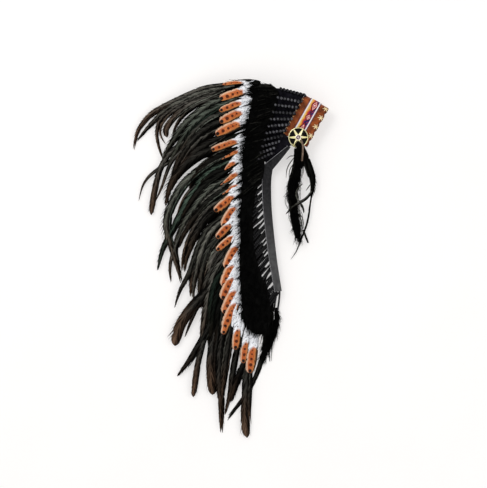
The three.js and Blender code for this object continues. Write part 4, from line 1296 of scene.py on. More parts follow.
def feather_group(name, pointed, rounded, barbs):
    """A tree that turns each line into a feather: an arched vane nicked at its edges, a tapering shaft, and barbs that
    come loose on both sides. A line's 'blunt' value leads from the pointed outline to the rounded one."""
    tree, group_in, group_out = new_tree(name, {
        "Spacing": 0.004, "Arch": 0.2, "Thick": 0.00025, "Nicks": 0.3, "Nick Scale": 80.0, "Barb Spacing": 0.009,
        "Barb Reach": 1.1, "Base Fluff": 0.0, "Root Angle": 0.4, "Tip Angle": 0.22, "Barb Width": 0.0018,
        "Barb Thick": 0.0005, "Shaft Radius": 0.0007, "Ruffle": 0.1, "Lift": 0.05, "Seed": 1})
    value = group_in.outputs
    curve = result(tree, "GeometryNodeMeshToCurve", {"Mesh": value["Geometry"]})
    spot = add(tree, "GeometryNodeSplineParameter").outputs
    factor, length_along = spot["Factor"], spot["Length"]
    whole = add(tree, "GeometryNodeSplineLength").outputs["Length"]
    tone = product(tree, named(tree, "tone"), 91.0)
    sharp_width, round_width = profile_curve(tree, factor, pointed), profile_curve(tree, factor, rounded)
    outline = scaled(tree, calc(tree, "SUBTRACT", round_width, sharp_width), named(tree, "blunt"), sharp_width)
    half = product(tree, outline, named(tree, "half_width"))
    lean = result(tree, "ShaderNodeMapRange", {"Value": factor, "To Min": value["Root Angle"],
                                               "To Max": value["Tip Angle"]})
    ahead = result(tree, "GeometryNodeInputTangent")
    up_axis = result(tree, "ShaderNodeVectorRotate", {"Vector": (0.0, 0.0, 1.0), "Axis": ahead,
                                                      "Angle": named(tree, "roll")}, rotation_type="AXIS_ANGLE")
    sideways = cross(tree, up_axis, ahead)
    gathered = tree.nodes.new("GeometryNodeJoinGeometry")

    def stations(spacing):
        return result(tree, "GeometryNodeResampleCurve", {"Curve": curve, "Length": spacing}, mode="LENGTH")

    # The vane: a ring swept along the line, then set out to its width, nicks and arch.
    vane_line = store(tree, stations(value["Spacing"]), factor=factor, root_at=length_along, half=half, lean=lean,
                      middle=result(tree, "GeometryNodeInputPosition"), sideways=sideways, rise_axis=up_axis)
    ring = result(tree, "GeometryNodeMeshToCurve", {"Mesh": shape_of(tree, feather_section)})
    vane = result(tree, "GeometryNodeCurveToMesh", {"Curve": vane_line, "Profile Curve": ring, "Fill Caps": True})
    lateral, half_here, root_at = named(tree, "lateral"), named(tree, "half"), named(tree, "root_at")
    nick_place = xyz(tree, product(tree, root_at, value["Nick Scale"]), product(tree, calc(tree, "SIGN", lateral), 3.0),
                     tone)
    nick = product(tree, ramp(tree, noise(tree, nick_place, 1.0, 2.0, 0.6), 0.54, 0.68), value["Nicks"])
    across = product(tree, lateral, half_here)
    reach_out = product(tree, across, calc(tree, "SUBTRACT", 1.0, product(tree, nick, calc(tree, "ABSOLUTE", lateral))))
    arched = product(tree, half_here, value["Arch"], calc(tree, "SUBTRACT", 1.0, product(tree, lateral, lateral)))
    height = scaled(tree, named(tree, "skin"), value["Thick"], arched)
    shaped = result(tree, "GeometryNodeSetPosition", {"Geometry": vane, "Position": vector_sum(
        tree, named(tree, "middle", "FLOAT_VECTOR"),
        along_vector(tree, named(tree, "sideways", "FLOAT_VECTOR"), reach_out),
        along_vector(tree, named(tree, "rise_axis", "FLOAT_VECTOR"), height))})
    barb_run = calc(tree, "DIVIDE", calc(tree, "ABSOLUTE", across), calc(tree, "TANGENT", named(tree, "lean")))
    tree.links.new(store(tree, shaped, vane=xyz(tree, root_at, across, lateral),
                         root_at=calc(tree, "SUBTRACT", root_at, barb_run)), gathered.inputs[0])

    # The barbs: on each side of the shaft, in clumps, longer at a downy base.
    clump_place = xyz(tree, product(tree, length_along, 55.0), tone)
    clump = add(tree, "ShaderNodeTexNoise", {"Vector": clump_place, "Scale": 1.0, "Detail": 3.0, "Roughness": 0.7})
    channels = parts_of(tree, clump.outputs["Color"])
    downy = product(tree, ramp(tree, factor, 0.5, 0.15), value["Base Fluff"])
    fringe = product(tree, half, calc(tree, "ADD", value["Barb Reach"], downy))
    flat_length = calc(tree, "DIVIDE", fringe, calc(tree, "MAXIMUM", calc(tree, "SINE", lean), 0.15))
    room = product(tree, calc(tree, "SUBTRACT", whole, length_along), 0.93)
    spaced = stations(value["Barb Spacing"])
    for number, hand in enumerate((1.0, -1.0)):
        clumped = product(tree, calc(tree, "SUBTRACT", channels[number], 0.5), product(tree, value["Ruffle"], 4.0))
        own = add(tree, "FunctionNodeRandomValue", {
            2: -1.0, 3: 1.0, "Seed": calc(tree, "ADD", value["Seed"], 17.0 * number)}).outputs[1]
        stray = product(tree, own, product(tree, value["Ruffle"], 0.5))
        angle = calc(tree, "MAXIMUM", calc(tree, "ADD", calc(tree, "ADD", lean, clumped), stray), 0.08)
        uneven = scaled(tree, calc(tree, "ADD", clumped, stray), 0.8, 1.0)
        length = calc(tree, "MINIMUM", product(tree, flat_length, uneven), room)
        direction = vector_sum(tree, along_vector(tree, ahead, calc(tree, "COSINE", angle)),
                               along_vector(tree, sideways, product(tree, calc(tree, "SINE", angle), hand)),
                               along_vector(tree, up_axis, product(tree, own, value["Lift"])))
        stored = store(tree, spaced, factor=factor, root_at=length_along, barb_length=length, barb_angle=angle)
        real = set_on(tree, stored, barbs[number], facing(tree, direction, up_axis),
                      xyz(tree, length, value["Barb Width"], value["Barb Thick"]),
                      Selection=calc(tree, "LESS_THAN", factor, 0.97))
        reach, barb_angle = named(tree, "reach"), named(tree, "barb_angle")
        run = product(tree, reach, named(tree, "barb_length"))
        forward = scaled(tree, run, calc(tree, "COSINE", barb_angle), root_at)
        spread = product(tree, run, calc(tree, "SINE", barb_angle), hand)
        barb_vane = xyz(tree, forward, spread, product(tree, reach, hand))
        tree.links.new(store(tree, real, vane=barb_vane), gathered.inputs[0])

    # The shaft: a rod along the top of the arch.
    raised = result(tree, "GeometryNodeSetPosition", {
        "Geometry": stations(product(tree, value["Spacing"], 3.0)),
        "Offset": along_vector(tree, up_axis, product(tree, half, value["Arch"]))})
    shaft_line = store(tree, raised, factor=factor, root_at=length_along)
    round_section = result(tree, "GeometryNodeCurvePrimitiveCircle", {"Resolution": 5, "Radius": value["Shaft Radius"]})
    shaft = result(tree, "GeometryNodeCurveToMesh", {"Curve": shaft_line, "Profile Curve": round_section,
                                                     "Scale": scaled(tree, factor, -0.88, 1.0), "Fill Caps": True})
    tree.links.new(store(tree, shaft, vane=xyz(tree, root_at)), gathered.inputs[0])
    return close_tree(tree, group_in, group_out, settled(tree, gathered.outputs[0]))


# Barb shading: streaks that follow the barbs, and where on its feather a point lies.
barb_shade, barb_in, barb_out = new_group(
    "Barb shade", "ShaderNodeTree", {"Streak Scale": 1.0},
    {key: "Float" for key in ("Streak", "Along", "Across", "Side", "Reach", "Tone", "Factor")})
vane_along, vane_across, vane_side = parts_of(
    barb_shade, add(barb_shade, "ShaderNodeAttribute", attribute_name="vane").outputs["Vector"])
vane_tone = shade_value(barb_shade, "tone")
streak_place = xyz(barb_shade, product(barb_shade, shade_value(barb_shade, "root_at"), 420.0),
                   product(barb_shade, vane_side, 2.5), product(barb_shade, vane_tone, 37.0))
streak = noise(barb_shade, streak_place, barb_in.outputs[0], 3.0, 0.65)
for key, socket in (("Streak", streak), ("Along", vane_along), ("Across", vane_across), ("Side", vane_side),
                    ("Reach", calc(barb_shade, "ABSOLUTE", vane_side)), ("Tone", vane_tone),
                    ("Factor", shade_value(barb_shade, "factor"))):
    barb_shade.links.new(socket, barb_out.inputs[key])


def barb_shades(tree, streak_scale):
    """Output sockets of the barb shading, with this feather's own streaks."""
    return add(tree, "ShaderNodeGroup", {"Streak Scale": streak_scale}, node_tree=barb_shade).outputs


PLUME_POINTED = ((0.0, 0.45), (0.12, 0.80), (0.35, 1.0), (0.6, 0.88), (0.8, 0.60), (0.93, 0.30), (1.0, 0.05))
PLUME_ROUNDED = ((0.0, 0.35), (0.3, 0.75), (0.6, 0.98), (0.85, 1.0), (0.94, 0.82), (0.98, 0.50), (1.0, 0.08))
PLUME_ROOT = 34.0
PLUME_OUT = 1.4
# Plan points, width, rounded or not, and how brown its tip, how lit and how green its gloss.
PLUMES = (
    (((-19, 465), (-69, 457), (-109, 442), (-147, 425), (-181, 409), (-211, 392), (-235, 368), (-252, 340),
      (-262, 296)), 16, 0, 0.95, 0.55, 0),
    (((-24, 455), (-69, 447), (-109, 433), (-147, 415), (-176, 399), (-197, 380), (-224, 352),
      (-252, 319)), 17, 0, 0.15, 0.7, 0.2),
    (((-43, 450), (-88, 434), (-128, 417), (-163, 398), (-185, 379), (-196, 359), (-199, 332), (-193, 298),
      (-181, 264)), 12, 0, 0.6, 0.5, 0),
    (((-69, 435), (-115, 418), (-149, 399), (-173, 378), (-187, 356), (-188, 332), (-175, 308)), 11, 0, 0.8, 0.4, 0),
    (((-48, 438), (-93, 421), (-125, 402), (-149, 382), (-168, 359), (-174, 344), (-169, 328)), 17, 1, 0.6, 0.55, 0),
    (((-45, 431), (-83, 415), (-112, 399), (-133, 380), (-147, 359), (-160, 327)), 10, 0, 0.35, 0.35, 0.1),
    (((-19, 429), (-56, 413), (-85, 392), (-112, 371), (-133, 348), (-152, 322), (-173, 290),
      (-184, 266)), 25, 0, 0.1, 0.8, 0.45),
    (((-13, 415), (-53, 396), (-83, 375), (-109, 351), (-128, 324), (-144, 295), (-160, 266),
      (-171, 242)), 24, 0, 0.1, 0.7, 0.6),
    (((-19, 391), (-56, 375), (-85, 354), (-109, 328), (-128, 300), (-141, 274), (-152, 244)), 21, 0, 0.25, 0.35, 0.2),
    (((-19, 370), (-61, 351), (-91, 328), (-115, 300), (-133, 271), (-149, 239), (-160, 202)), 23, 0, 0.1, 0.15, 0.1),
    (((-24, 351), (-64, 332), (-91, 311), (-115, 284), (-133, 255), (-147, 223)), 21, 0, 0.2, 0.45, 0.1),
    (((-29, 324), (-67, 306), (-96, 284), (-120, 260), (-139, 234), (-152, 202)), 24, 0, 0.3, 0.1, 0),
    (((-125, 316), (-155, 292), (-176, 267), (-191, 236), (-200, 202), (-208, 162), (-213, 121)), 17, 1, 0.75, 0.5, 0),
    (((-136, 284), (-168, 258), (-197, 239), (-221, 219), (-237, 194), (-247, 156)), 8, 0, 0.4, 0.4, 0.1),
    (((-131, 292), (-157, 263), (-172, 231), (-184, 196), (-200, 158)), 10, 0, 0.55, 0.3, 0),
    (((-40, 298), (-83, 279), (-117, 255), (-144, 226), (-163, 191), (-175, 143)), 28, 0, 0.35, 0.12, 0),
    (((19, 292), (-35, 271), (-72, 247), (-99, 218), (-112, 186)), 26, 0, 0.1, 0.05, 0.2),
    (((13, 250), (-35, 231), (-67, 210), (-91, 180), (-107, 143)), 26, 0, 0.1, 0.05, 0.3),
    (((-13, 276), (-56, 255), (-93, 232), (-125, 202), (-149, 167), (-167, 127), (-172, 89), (-164, 49), (-152, 7),
      (-141, -31), (-135, -63)), 25, 0, 0.45, 0.75, 0.35),
    (((-13, 255), (-51, 236), (-75, 212), (-99, 180), (-120, 143), (-144, 99), (-167, 57), (-184, 19),
      (-195, -28)), 24, 0, 0.05, 0.75, 0.9),
    (((-67, 212), (-101, 191), (-123, 167), (-137, 142), (-144, 119)), 9, 0, 0.75, 0.4, 0),
    (((-24, 228), (-61, 206), (-91, 174), (-117, 136), (-139, 97)), 21, 0, 0.1, 0.08, 0.3),
    (((-8, 215), (-48, 194), (-77, 164), (-104, 129), (-125, 95), (-141, 59), (-149, 25),
      (-140, -7)), 23, 0, 0.15, 0.7, 0.4),
    (((-3, 191), (-43, 168), (-75, 139), (-101, 105), (-123, 71), (-139, 31)), 23, 0, 0.15, 0.1, 0.2),
    (((-24, 194), (-64, 163), (-93, 128), (-115, 95)), 13, 0, 0.1, 0.75, 0.2),
    (((-19, 164), (-61, 134), (-91, 97), (-112, 60), (-127, 17), (-133, -33)), 13, 0, 0.8, 0.35, 0),
    (((-19, 143), (-59, 116), (-85, 81), (-105, 41), (-119, 1), (-124, -33)), 23, 0, 0.35, 0.12, 0),
    (((-19, 116), (-56, 87), (-80, 49), (-96, 7), (-111, -36), (-136, -83), (-151, -129)), 19, 0, 0.1, 0.3, 0.2),
    (((-8, 111), (-45, 81), (-68, 44), (-84, 1), (-95, -44), (-101, -84), (-97, -111)), 25, 0, 0.15, 0.8, 0.15),
    (((-13, 79), (-45, 47), (-67, 7), (-77, -36), (-84, -81), (-84, -116)), 24, 0, 0.2, 0.3, 0.25),
    (((-115, 95), (-139, 57), (-156, 12), (-162, -23), (-159, -59)), 11, 0, 0.4, 0.6, 0.1),
    (((-13, 44), (-43, 9), (-57, -31), (-65, -73), (-72, -116)), 22, 0, 0.6, 0.5, 0),
    (((-13, 9), (-41, -33), (-55, -79), (-64, -124), (-72, -172), (-81, -231)), 23, 0, 0.35, 0.6, 0.1),
    (((-13, -17), (-40, -63), (-52, -111), (-57, -162), (-61, -228)), 22, 0, 0.1, 0.5, 1),
    (((-19, -55), (-37, -103), (-48, -156), (-53, -220), (-57, -274)), 24, 0, 0.1, 0.15, 0.8),
    (((-19, -97), (-32, -146), (-37, -204), (-39, -268)), 24, 0, 0.1, 0.08, 0.3),
    (((-35, -7), (-59, -44), (-72, -84), (-80, -132)), 20, 0, 0.3, 0.75, 0.1),
    (((-45, -60), (-71, -95), (-93, -117), (-116, -144), (-135, -175), (-145, -204), (-150, -231)), 29, 1, 1, 0.6, 0),
    (((-75, -103), (-95, -140), (-109, -172), (-122, -206)), 10, 0, 0.2, 0.5, 0),
    (((-80, 12), (-96, -23), (-105, -57), (-107, -100)), 11, 0, 0.65, 0.4, 0),
    (((-48, -156), (-69, -202), (-88, -235), (-113, -274), (-143, -313)), 19, 0, 0.1, 0.3, 0.1),
    (((-59, -178), (-75, -228), (-87, -271), (-95, -319), (-101, -368)), 17, 1, 1, 0.7, 0),
    (((-37, -167), (-49, -228), (-54, -279), (-52, -324), (-49, -362)), 26, 1, 0.85, 0.5, 0),
    (((-19, -178), (-28, -247), (-31, -322), (-28, -391), (-28, -463)), 20, 0, 0.65, 0.45, 0),
    (((0, -188), (-8, -242), (-15, -290), (-21, -338), (-25, -386)), 20, 0, 0.5, 0.35, 0),
    (((19, -231), (11, -274), (4, -316), (-1, -356), (-15, -415)), 17, 0, 0.45, 0.4, 0.1),
    (((43, -258), (27, -298), (11, -335), (-1, -383)), 22, 0, 0.2, 0.12, 0),
    (((54, -258), (44, -308), (41, -359), (38, -407), (39, -445), (43, -477)), 24, 1, 0.85, 0.55, 0.15),
    (((52, -335), (50, -383), (49, -418), (51, -447)), 6, 0, 0.8, 0.3, 0),
)
CROWN_PLUMES = 17
LOWER_PLUMES = 33
LOWER_GLOSS = 0.35
LOWER_STRAND_GLOSS = 0.4
STRAND_FROM_WIDTH = 12
FILL_LENGTHS = ((0, 92.0), (4, 100.0), (6, 150.0), (13, 140.0), (16, 110.0), (19, 100.0), (23, 90.0))
FILL_LAST = 23
FILL_ROOT = 9

plume_material, tree, shader = new_material("dark_plume", 0.45, Specular_IOR_Level=0.012)
shade = barb_shades(tree, 0.26)
fine = barb_shades(tree, 1.0)
# Painted light: the grey-green sheen is painted on the side of each blade towards the light, fading towards the tip,
# with a painted gloss line along the blade and painted shade on the other side and at the outer edge. Each feather's
# 'lit' value sets how brightly it is painted lit. The barb streaks are the feather's own.
sheen = blend(tree, shade_value(tree, "green"), (0.270, 0.255, 0.222), (0.100, 0.165, 0.122))
lit_side = product(tree, ramp(tree, shade["Side"], 0.55, -0.25), ramp(tree, shade["Side"], -1.0, -0.62))
bands = ramp(tree, shade["Streak"], 0.42, 0.60)
grain = ramp(tree, fine["Streak"], 0.30, 0.66)
gloss_line = ramp(tree, calc(tree, "ABSOLUTE", calc(tree, "ADD", shade["Side"], 0.22)), 0.30, 0.05)
crests = calc(tree, "MAXIMUM", scaled(tree, bands, 0.985, 0.015), product(tree, gloss_line, 0.7))
streaks = product(tree, crests, scaled(tree, grain, 0.7, 0.3))
along_gloss = product(tree, shade_value(tree, "lit"), scaled(tree, ramp(tree, shade["Factor"], 0.45, 0.9), -0.55, 1.0))
lit = product(tree, along_gloss, scaled(tree, lit_side, 0.98, 0.02), streaks)
body = blend(tree, lit, (0.0004, 0.0004, 0.0003), sheen)
brown = product(tree, shade_value(tree, "brown"), ramp(tree, shade["Factor"], 0.45, 0.95))
# The brown tips are painted lighter on the lit side, with painted shade on the other side.
brown_lit = product(tree, streaks, scaled(tree, ramp(tree, shade["Side"], 0.75, -0.15), 0.85, 0.15))
brown_streak = blend(tree, brown_lit, (0.0022, 0.0012, 0.0008), (0.250, 0.148, 0.092))
tipped = blend(tree, product(tree, brown, 0.72), body, brown_streak)
chance = calc(tree, "FRACT", product(tree, shade["Tone"], 3.7))
edge_brown = product(tree, ramp(tree, shade["Reach"], 0.70, 1.0), ramp(tree, chance, 0.35, 0.95))
edged = blend(tree, product(tree, edge_brown, 0.10), tipped, (0.030, 0.013, 0.008))
paint(tree, shader, edged, scaled(tree, fine["Streak"], 0.35, 0.30))

PLUME_BARB = ((0.0, 0.85), (0.55, 1.0), (1.0, 0.0))
plume_barbs = [helper(barb_mesh(hand, PLUME_BARB)) for hand in (1, -1)]
feather_section = vane_section()
plume_tree = feather_group("Plume", PLUME_POINTED, PLUME_ROUNDED, plume_barbs)


def feather(line, half_width, tone, roll=0, blunt=0, **finish):
    """A feather's line, and its half width in millimetres, chance value, turn, roundness and colouring."""
    return line, {"half_width": half_width * MM, "tone": tone, "roll": roll, "blunt": blunt, **finish}


def plume(line, half_width, tone, roll=0, blunt=0, brown=0, lit=0, green=0):
    return feather(line, half_width, tone, roll, blunt, brown=brown, lit=lit, green=green)


def table_value(table, key):
    """Value at a key in a table of (key, value) pairs in order."""
    if key <= table[0][0]:
        return table[0][1]
    for (k0, v0), (k1, v1) in zip(table, table[1:]):
        if key <= k1:
            return lerp(v0, v1, (key - k0) / (k1 - k0))
    return table[-1][1]


for side, out in SIDES:
    dice = random.Random(41 if out > 0 else 43)
    for region, first, last in REGIONS:
        feathers = []
        for i in range(first, min(last, FILL_LAST)):
            for between, offset in ((0.0, -0.9), (0.5, -0.5)):
                share = (i + between) / (UNIT_COUNT - 1)
                start = unit_angle(share) + dice.gauss(0, 3.0)
                line = feather_line(spine_at(share) - heading(start) * FILL_ROOT, start, start + dice.uniform(8, 22),
                                    table_value(FILL_LENGTHS, i) * dice.uniform(0.85, 1.1), 10)
                feathers.append(plume(lay_feather(line, side, out, PLUME_OUT + offset), dice.uniform(8.5, 11.5),
                                      dice.random(), -0.12 * out, lit=0.14 * dice.random(), green=dice.random()))
        for number, (path, width, blunt, brownness, gloss, greenness) in enumerate(PLUMES):
            roll, lift = dice.gauss(-0.14, 0.10) * out, dice.uniform(0.0, 1.1)
            tone, shift = dice.random(), Vector((dice.uniform(-3, 5), dice.uniform(-3, 5))) if out < 0 else Vector((0, 0))
            if (number < CROWN_PLUMES) == (region == "crown"):
                points = [Vector(p) + shift for p in path]
                points.insert(0, points[0] + (points[0] - points[1]).normalized() * PLUME_ROOT)
                line = smooth_line(points, 24)
                feathers.append(plume(lay_feather(line, side, out, PLUME_OUT + lift), width / 2, tone, roll, blunt,
                                      brownness, gloss * (LOWER_GLOSS if number >= LOWER_PLUMES else 1.0),
                                      greenness))
                for beside in (-1, 1) if out > 0 and width > STRAND_FROM_WIDTH else ():
                    last_point = dice.randint(15, 22)
                    drift = dice.uniform(0.15, 0.42) * width * beside
                    strand = [q + left_of(line, k) * drift * smooth_step(k, 0, 8) for k, q in enumerate(line[:last_point])]
                    laid = lay_feather(even_points(strand, 20), side, out, PLUME_OUT + lift + dice.uniform(0.3, 1.0))
                    dimmed = LOWER_STRAND_GLOSS if number >= LOWER_PLUMES else 1.0
                    feathers.append(plume(laid, dice.uniform(0.12, 0.24) * width, dice.random(), dice.gauss(0, 0.2),
                                          brown=brownness * dice.random(), lit=dice.choice((0.05, 0.2, 0.6, 1.0)) * dimmed,
                                          green=min(1.0, greenness + 0.4 * dice.random())))
        plume_mesh = grow(f"{side}_{region}_rooster_plumes", skeleton("plume_lines", feathers), plume_tree,
                          spacing=(4.0 if out > 0 else 8.0) * MM, arch=0.24 * out, nick_scale=70.0,
                          barb_spacing=(9.5 if out > 0 else 20.0) * MM, barb_reach=1.18, shaft_radius=0.8 * MM,
                          ruffle=0.06, lift=0.03, seed=3 if out > 0 else 4, material=plume_material)
        place(f"{side}_{region}_rooster_plumes", plume_mesh, "dark_plume", f"{side}_{region}_plumes")

# Spotted feathers
# One short broad feather to a unit, on top of the plumes: white and downy at its base, then orange, with a painted
# highlight as a pale edge on its lit side and painted shade as a dark edge on the other, and a row of black spots that
# grow towards a black tip. Small white feathers lie between them.

# Tip, inner end of the orange, and width of each feather in plan, from the crown to the tail.
SPOTTED_ROW = (
    ((-23, 466), (30, 471), 11), ((-33, 426), (32, 449), 25), ((-33, 395), (27, 417), 20), ((-32, 364), (27, 392), 26),
    ((-43, 332), (23, 363), 27), ((-55, 291), (16, 316), 20), ((-25, 267), (19, 290), 20), ((-23, 231), (10, 259), 22),
    ((-28, 199), (14, 233), 21), ((-23, 174), (14, 201), 22), ((-46, 127), (4, 172), 25), ((-23, 85), (12, 139), 27),
    ((-40, 55), (-4, 95), 23), ((-40, 23), (5, 64), 21), ((-16, -25), (15, 36), 30), ((-22, -75), (4, -16), 30),
    ((-24, -109), (5, -50), 29), ((-21, -146), (8, -82), 30), ((-19, -186), (13, -117), 30), ((-22, -202), (-5, -151), 20),
    ((11, -243), (15, -187), 23), ((32, -279), (40, -220), 22), ((50, -306), (60, -234), 27))
CROWN_SPOTTED = 9
SPOTTED_OUTLINE = ((0.0, 0.10), (0.05, 0.42), (0.14, 0.74), (0.28, 0.88), (0.5, 0.95), (0.72, 1.0), (0.86, 0.84),
                   (0.95, 0.50), (1.0, 0.06))
LEAF_OUTLINE = ((0.0, 0.26), (0.08, 0.70), (0.22, 1.0), (0.42, 0.93), (0.68, 0.60), (0.88, 0.26), (1.0, 0.04))
SPOTTED_OUT = 4.1
FIRST_WHITE = 14.0
# From each feather's number on: length of the white base, and reach and half width of the white leaf after it.
WHITE_BASES = ((0, 36.0, 9, 2.8), (5, 36.0, 25, 6.0), (6, 40.0, 25, 6.0), (10, 44.0, 4, 6.0))
NAPE_LEAVES = range(6, 10)
ROW_TURN = 18
SPOTS = ((0.0085, 0.0052), (0.0250, 0.0050), (0.0405, 0.0040), (0.0535, 0.0029), (0.0640, 0.0021))
TIP_ROUND = 0.011

spotted_material, tree, shader = new_material("spotted_feather", 0.6, Specular_IOR_Level=0.12, Sheen_Weight=0.03)
shade = barb_shades(tree, 0.6)
to_tip = calc(tree, "SUBTRACT", shade_value(tree, "span"), shade["Along"])
streaks = ramp(tree, shade["Streak"], 0.34, 0.66)
warm = blend(tree, streaks, (0.30, 0.060, 0.014), (0.60, 0.158, 0.042))
aged = product(tree, calc(tree, "FRACT", product(tree, shade["Tone"], 5.1)), 0.7)
darkened = calc(tree, "MAXIMUM", aged, product(tree, ramp(tree, to_tip, 0.045, 0.004), 0.6))
rust = blend(tree, darkened, warm, (0.36, 0.075, 0.020))
blotch = ramp(tree, noise(tree, object_place(tree), 95.0), 0.42, 0.66)
blotched = blend(tree, product(tree, blotch, 0.45), rust, (0.70, 0.25, 0.085))
ochre = product(tree, ramp(tree, shade["Side"], 0.25, 0.85), 0.6)
rust = blend(tree, ochre, blotched, (0.56, 0.27, 0.075))
# A painted highlight: a pale edge along the side of the vane towards the light.
pale = product(tree, ramp(tree, shade["Side"], -0.45, -0.92), 0.85)
rim_light = blend(tree, pale, rust, (0.86, 0.60, 0.42))
# Painted shade: a dark edge along the other side of the vane.
shadowed = product(tree, ramp(tree, scaled(tree, shade["Streak"], 0.5, shade["Side"]), 0.86, 1.12), 0.95)
rimmed = blend(tree, shadowed, rim_light, (0.035, 0.014, 0.009))
white = blend(tree, ramp(tree, shade["Streak"], 0.33, 0.52), (0.13, 0.14, 0.165), (0.90, 0.92, 0.96))
ragged = scaled(tree, shade["Streak"], 0.020, calc(tree, "SUBTRACT", shade["Along"], 0.010))
slanted = scaled(tree, ramp(tree, shade["Side"], 0.1, -1.0), -0.013, ragged)
from_white = calc(tree, "SUBTRACT", slanted, shade_value(tree, "white_end"))
painted = blend(tree, ramp(tree, from_white, -0.005, 0.005), white, rimmed)
spot_size = shade_value(tree, "spot_size")
for centre, radius in SPOTS:
    gaps = (calc(tree, "SUBTRACT", to_tip, centre), shade["Across"])
    gap = calc(tree, "SQRT", calc(tree, "ADD", *(product(tree, way, way) for way in gaps)))
    share = calc(tree, "DIVIDE", scaled(tree, shade["Streak"], 0.0012, gap), product(tree, spot_size, radius))
    white_from = (-0.016, -0.014) if centre > 0.03 else (-0.001, 0.001)
    dot = product(tree, ramp(tree, share, 1.25, 0.85), ramp(tree, from_white, *white_from))
    painted = blend(tree, dot, painted, (0.075, 0.016, 0.006) if centre > 0.01 else (0.008, 0.004, 0.003))
tip_line = scaled(tree, product(tree, shade["Across"], shade["Across"]), -0.5 / TIP_ROUND, to_tip)
dark_tip = product(tree, ramp(tree, tip_line, 0.0042, 0.0022), ramp(tree, spot_size, 0.55, 0.65),
                   ramp(tree, from_white, -0.001, 0.001))
paint(tree, shader, blend(tree, dark_tip, painted, (0.010, 0.005, 0.003)), scaled(tree, shade["Streak"], 0.3, 0.42))

SPOTTED_BARB = ((0.0, 0.85), (0.5, 1.0), (0.85, 0.8), (1.0, 0.0))
spotted_barbs = [helper(barb_mesh(hand, SPOTTED_BARB)) for hand in (1, -1)]
spotted_tree = feather_group("Spotted feather", SPOTTED_OUTLINE, LEAF_OUTLINE, spotted_barbs)
for side, out in SIDES:
    dice = random.Random(51 if out > 0 else 53)
    for region, first, last in (("crown", 0, CROWN_SPOTTED), ("trailer", CROWN_SPOTTED, len(SPOTTED_ROW))):
        feathers = []
        for number in range(first, last):
            tip, inner = (Vector(v) for v in SPOTTED_ROW[number][:2])
            width = SPOTTED_ROW[number][2]
            run = (tip - inner).normalized()
            aside = Vector((-run.y, run.x))
            _, white_run, leaf_reach, leaf_half = [row for row in WHITE_BASES if row[0] <= number][-1]
            white_run = white_run if number else FIRST_WHITE
            root = inner - run * white_run
            bow = aside * dice.uniform(-3.0, 3.0)
            line = [root.lerp(tip, k / 9) + bow * math.sin(math.pi * (k / 9)) for k in range(10)]
            laid = lay_feather(line, side, out, SPOTTED_OUT)
            slope = 1.4 * smooth_step(number, 8, 14)
            laid = [p + UP * (out * slope * (k / 9 - 0.5) * MM) for k, p in enumerate(laid)]
            nape = number in NAPE_LEAVES
            feathers.append(feather(laid, width / 2, dice.random(), dice.gauss(-0.12, 0.06) * out, int(nape),
                                    span=line_length(laid), white_end=white_run * MM,
                                    spot_size=0.5 if nape else min(1.0, width / 24)))
            whites = []
            for k in range(5 if out > 0 and number else 0):
                shift = aside * (dice.uniform(0.08, 0.6) * width * (1 if k % 2 else -1))
                point = inner - run * (white_run + dice.uniform(-9, 6)) + shift * dice.uniform(0.7, 1.15)
                whites.append((inner - run * dice.uniform(-3, 9) + shift, point, dice.uniform(2.2, 3.8), 0.9))
            if number + 1 < len(SPOTTED_ROW):
                next_tip, next_inner = (Vector(v) for v in SPOTTED_ROW[number + 1][:2])
                between = (inner + next_inner) / 2
                along = (run + (next_tip - next_inner).normalized()).normalized()
                whites.append((between - along * white_run * dice.uniform(0.85, 1.0), between + along * leaf_reach,
                               leaf_half, -0.5))
            if number == ROW_TURN:
                whites.append((inner + Vector((30, 13)), inner + Vector((1, -33)), 8.5, -0.5))
            for start, reach, breadth, offset in whites:
                line = [start.lerp(reach, k / 6) + Vector((dice.uniform(-0.7, 0.7), dice.uniform(-0.7, 0.7)))
                        for k in range(7)]
                laid = lay_feather(line, side, out, SPOTTED_OUT + offset)
                feathers.append(feather(laid, breadth, dice.random(), dice.gauss(0, 0.15) * out, 1,
                                        span=line_length(laid), white_end=1.0, spot_size=0.01))
        spotted_mesh = grow(f"{side}_{region}_spotted_row", skeleton("spotted_lines", feathers), spotted_tree,
                            spacing=(2.4 if out > 0 else 4.0) * MM, arch=0.16 * out, nicks=0.22, nick_scale=120.0,
                            barb_spacing=(3.0 if out > 0 else 6.0) * MM, barb_reach=1.03, base_fluff=0.15, root_angle=0.62,
                            tip_angle=0.80, barb_width=1.5 * MM, shaft_radius=0.6 * MM, ruffle=0.05,
                            seed=7 if out > 0 else 8, material=spotted_material)
        place(f"{side}_{region}_spotted_row", spotted_mesh, "spotted_feather", f"{side}_{region}_spotted_feathers")

# Bound quills
# The trailer feathers' quills, three to a unit, are wound with thin black cord like those of the crown. They run
# slanting from inside the folded strip to the down.

QUILL_TURN = 5.2
QUILL_DROP = 5.3
QUILL_UNITS = 13
QUILL_FIRST = 235.0
QUILL_PITCH = 27.6
QUILL_RUN = 80.0
QUILL_SHIFTS = (-4.6, 0.0, 4.6)
QUILL_ANGLES = (43.0, 53.0)
BACKING_DOWN = 6
BACKING_NEAR = (32.0, 20.0)
BACKING_FAR = 92.0
BACKING_OUT = 2.2
BACKING_HALF_WIDTH = 6.4
strip_seat = [p - left_of(strip_path, k) * 13.0 for k, p in enumerate(strip_path)]

quill_material, tree, shader = new_material("bound_quill", 0.5, Specular_IOR_Level=0.08)
colour, grain = mottled(tree, (0.0004, 0.0004, 0.0005), (0.006, 0.006, 0.0065), 260.0, 900.0)
# The crests of the quills' cord are painted a lighter grey. This is a painted highlight, broken up by the grain.
worn_and_highlit = product(tree, ramp(tree, shade_value(tree, "crest"), 0.6, 1.0), ramp(tree, grain, 0.35, 0.65))
paint(tree, shader, blend(tree, worn_and_highlit, colour, (0.070, 0.070, 0.073)), scaled(tree, grain, 0.3, 0.35))


def seat_at(level):
    """Point on the strip's seat line nearest to a level in plan."""
    return min(strip_seat, key=lambda p: abs(p.y - level))


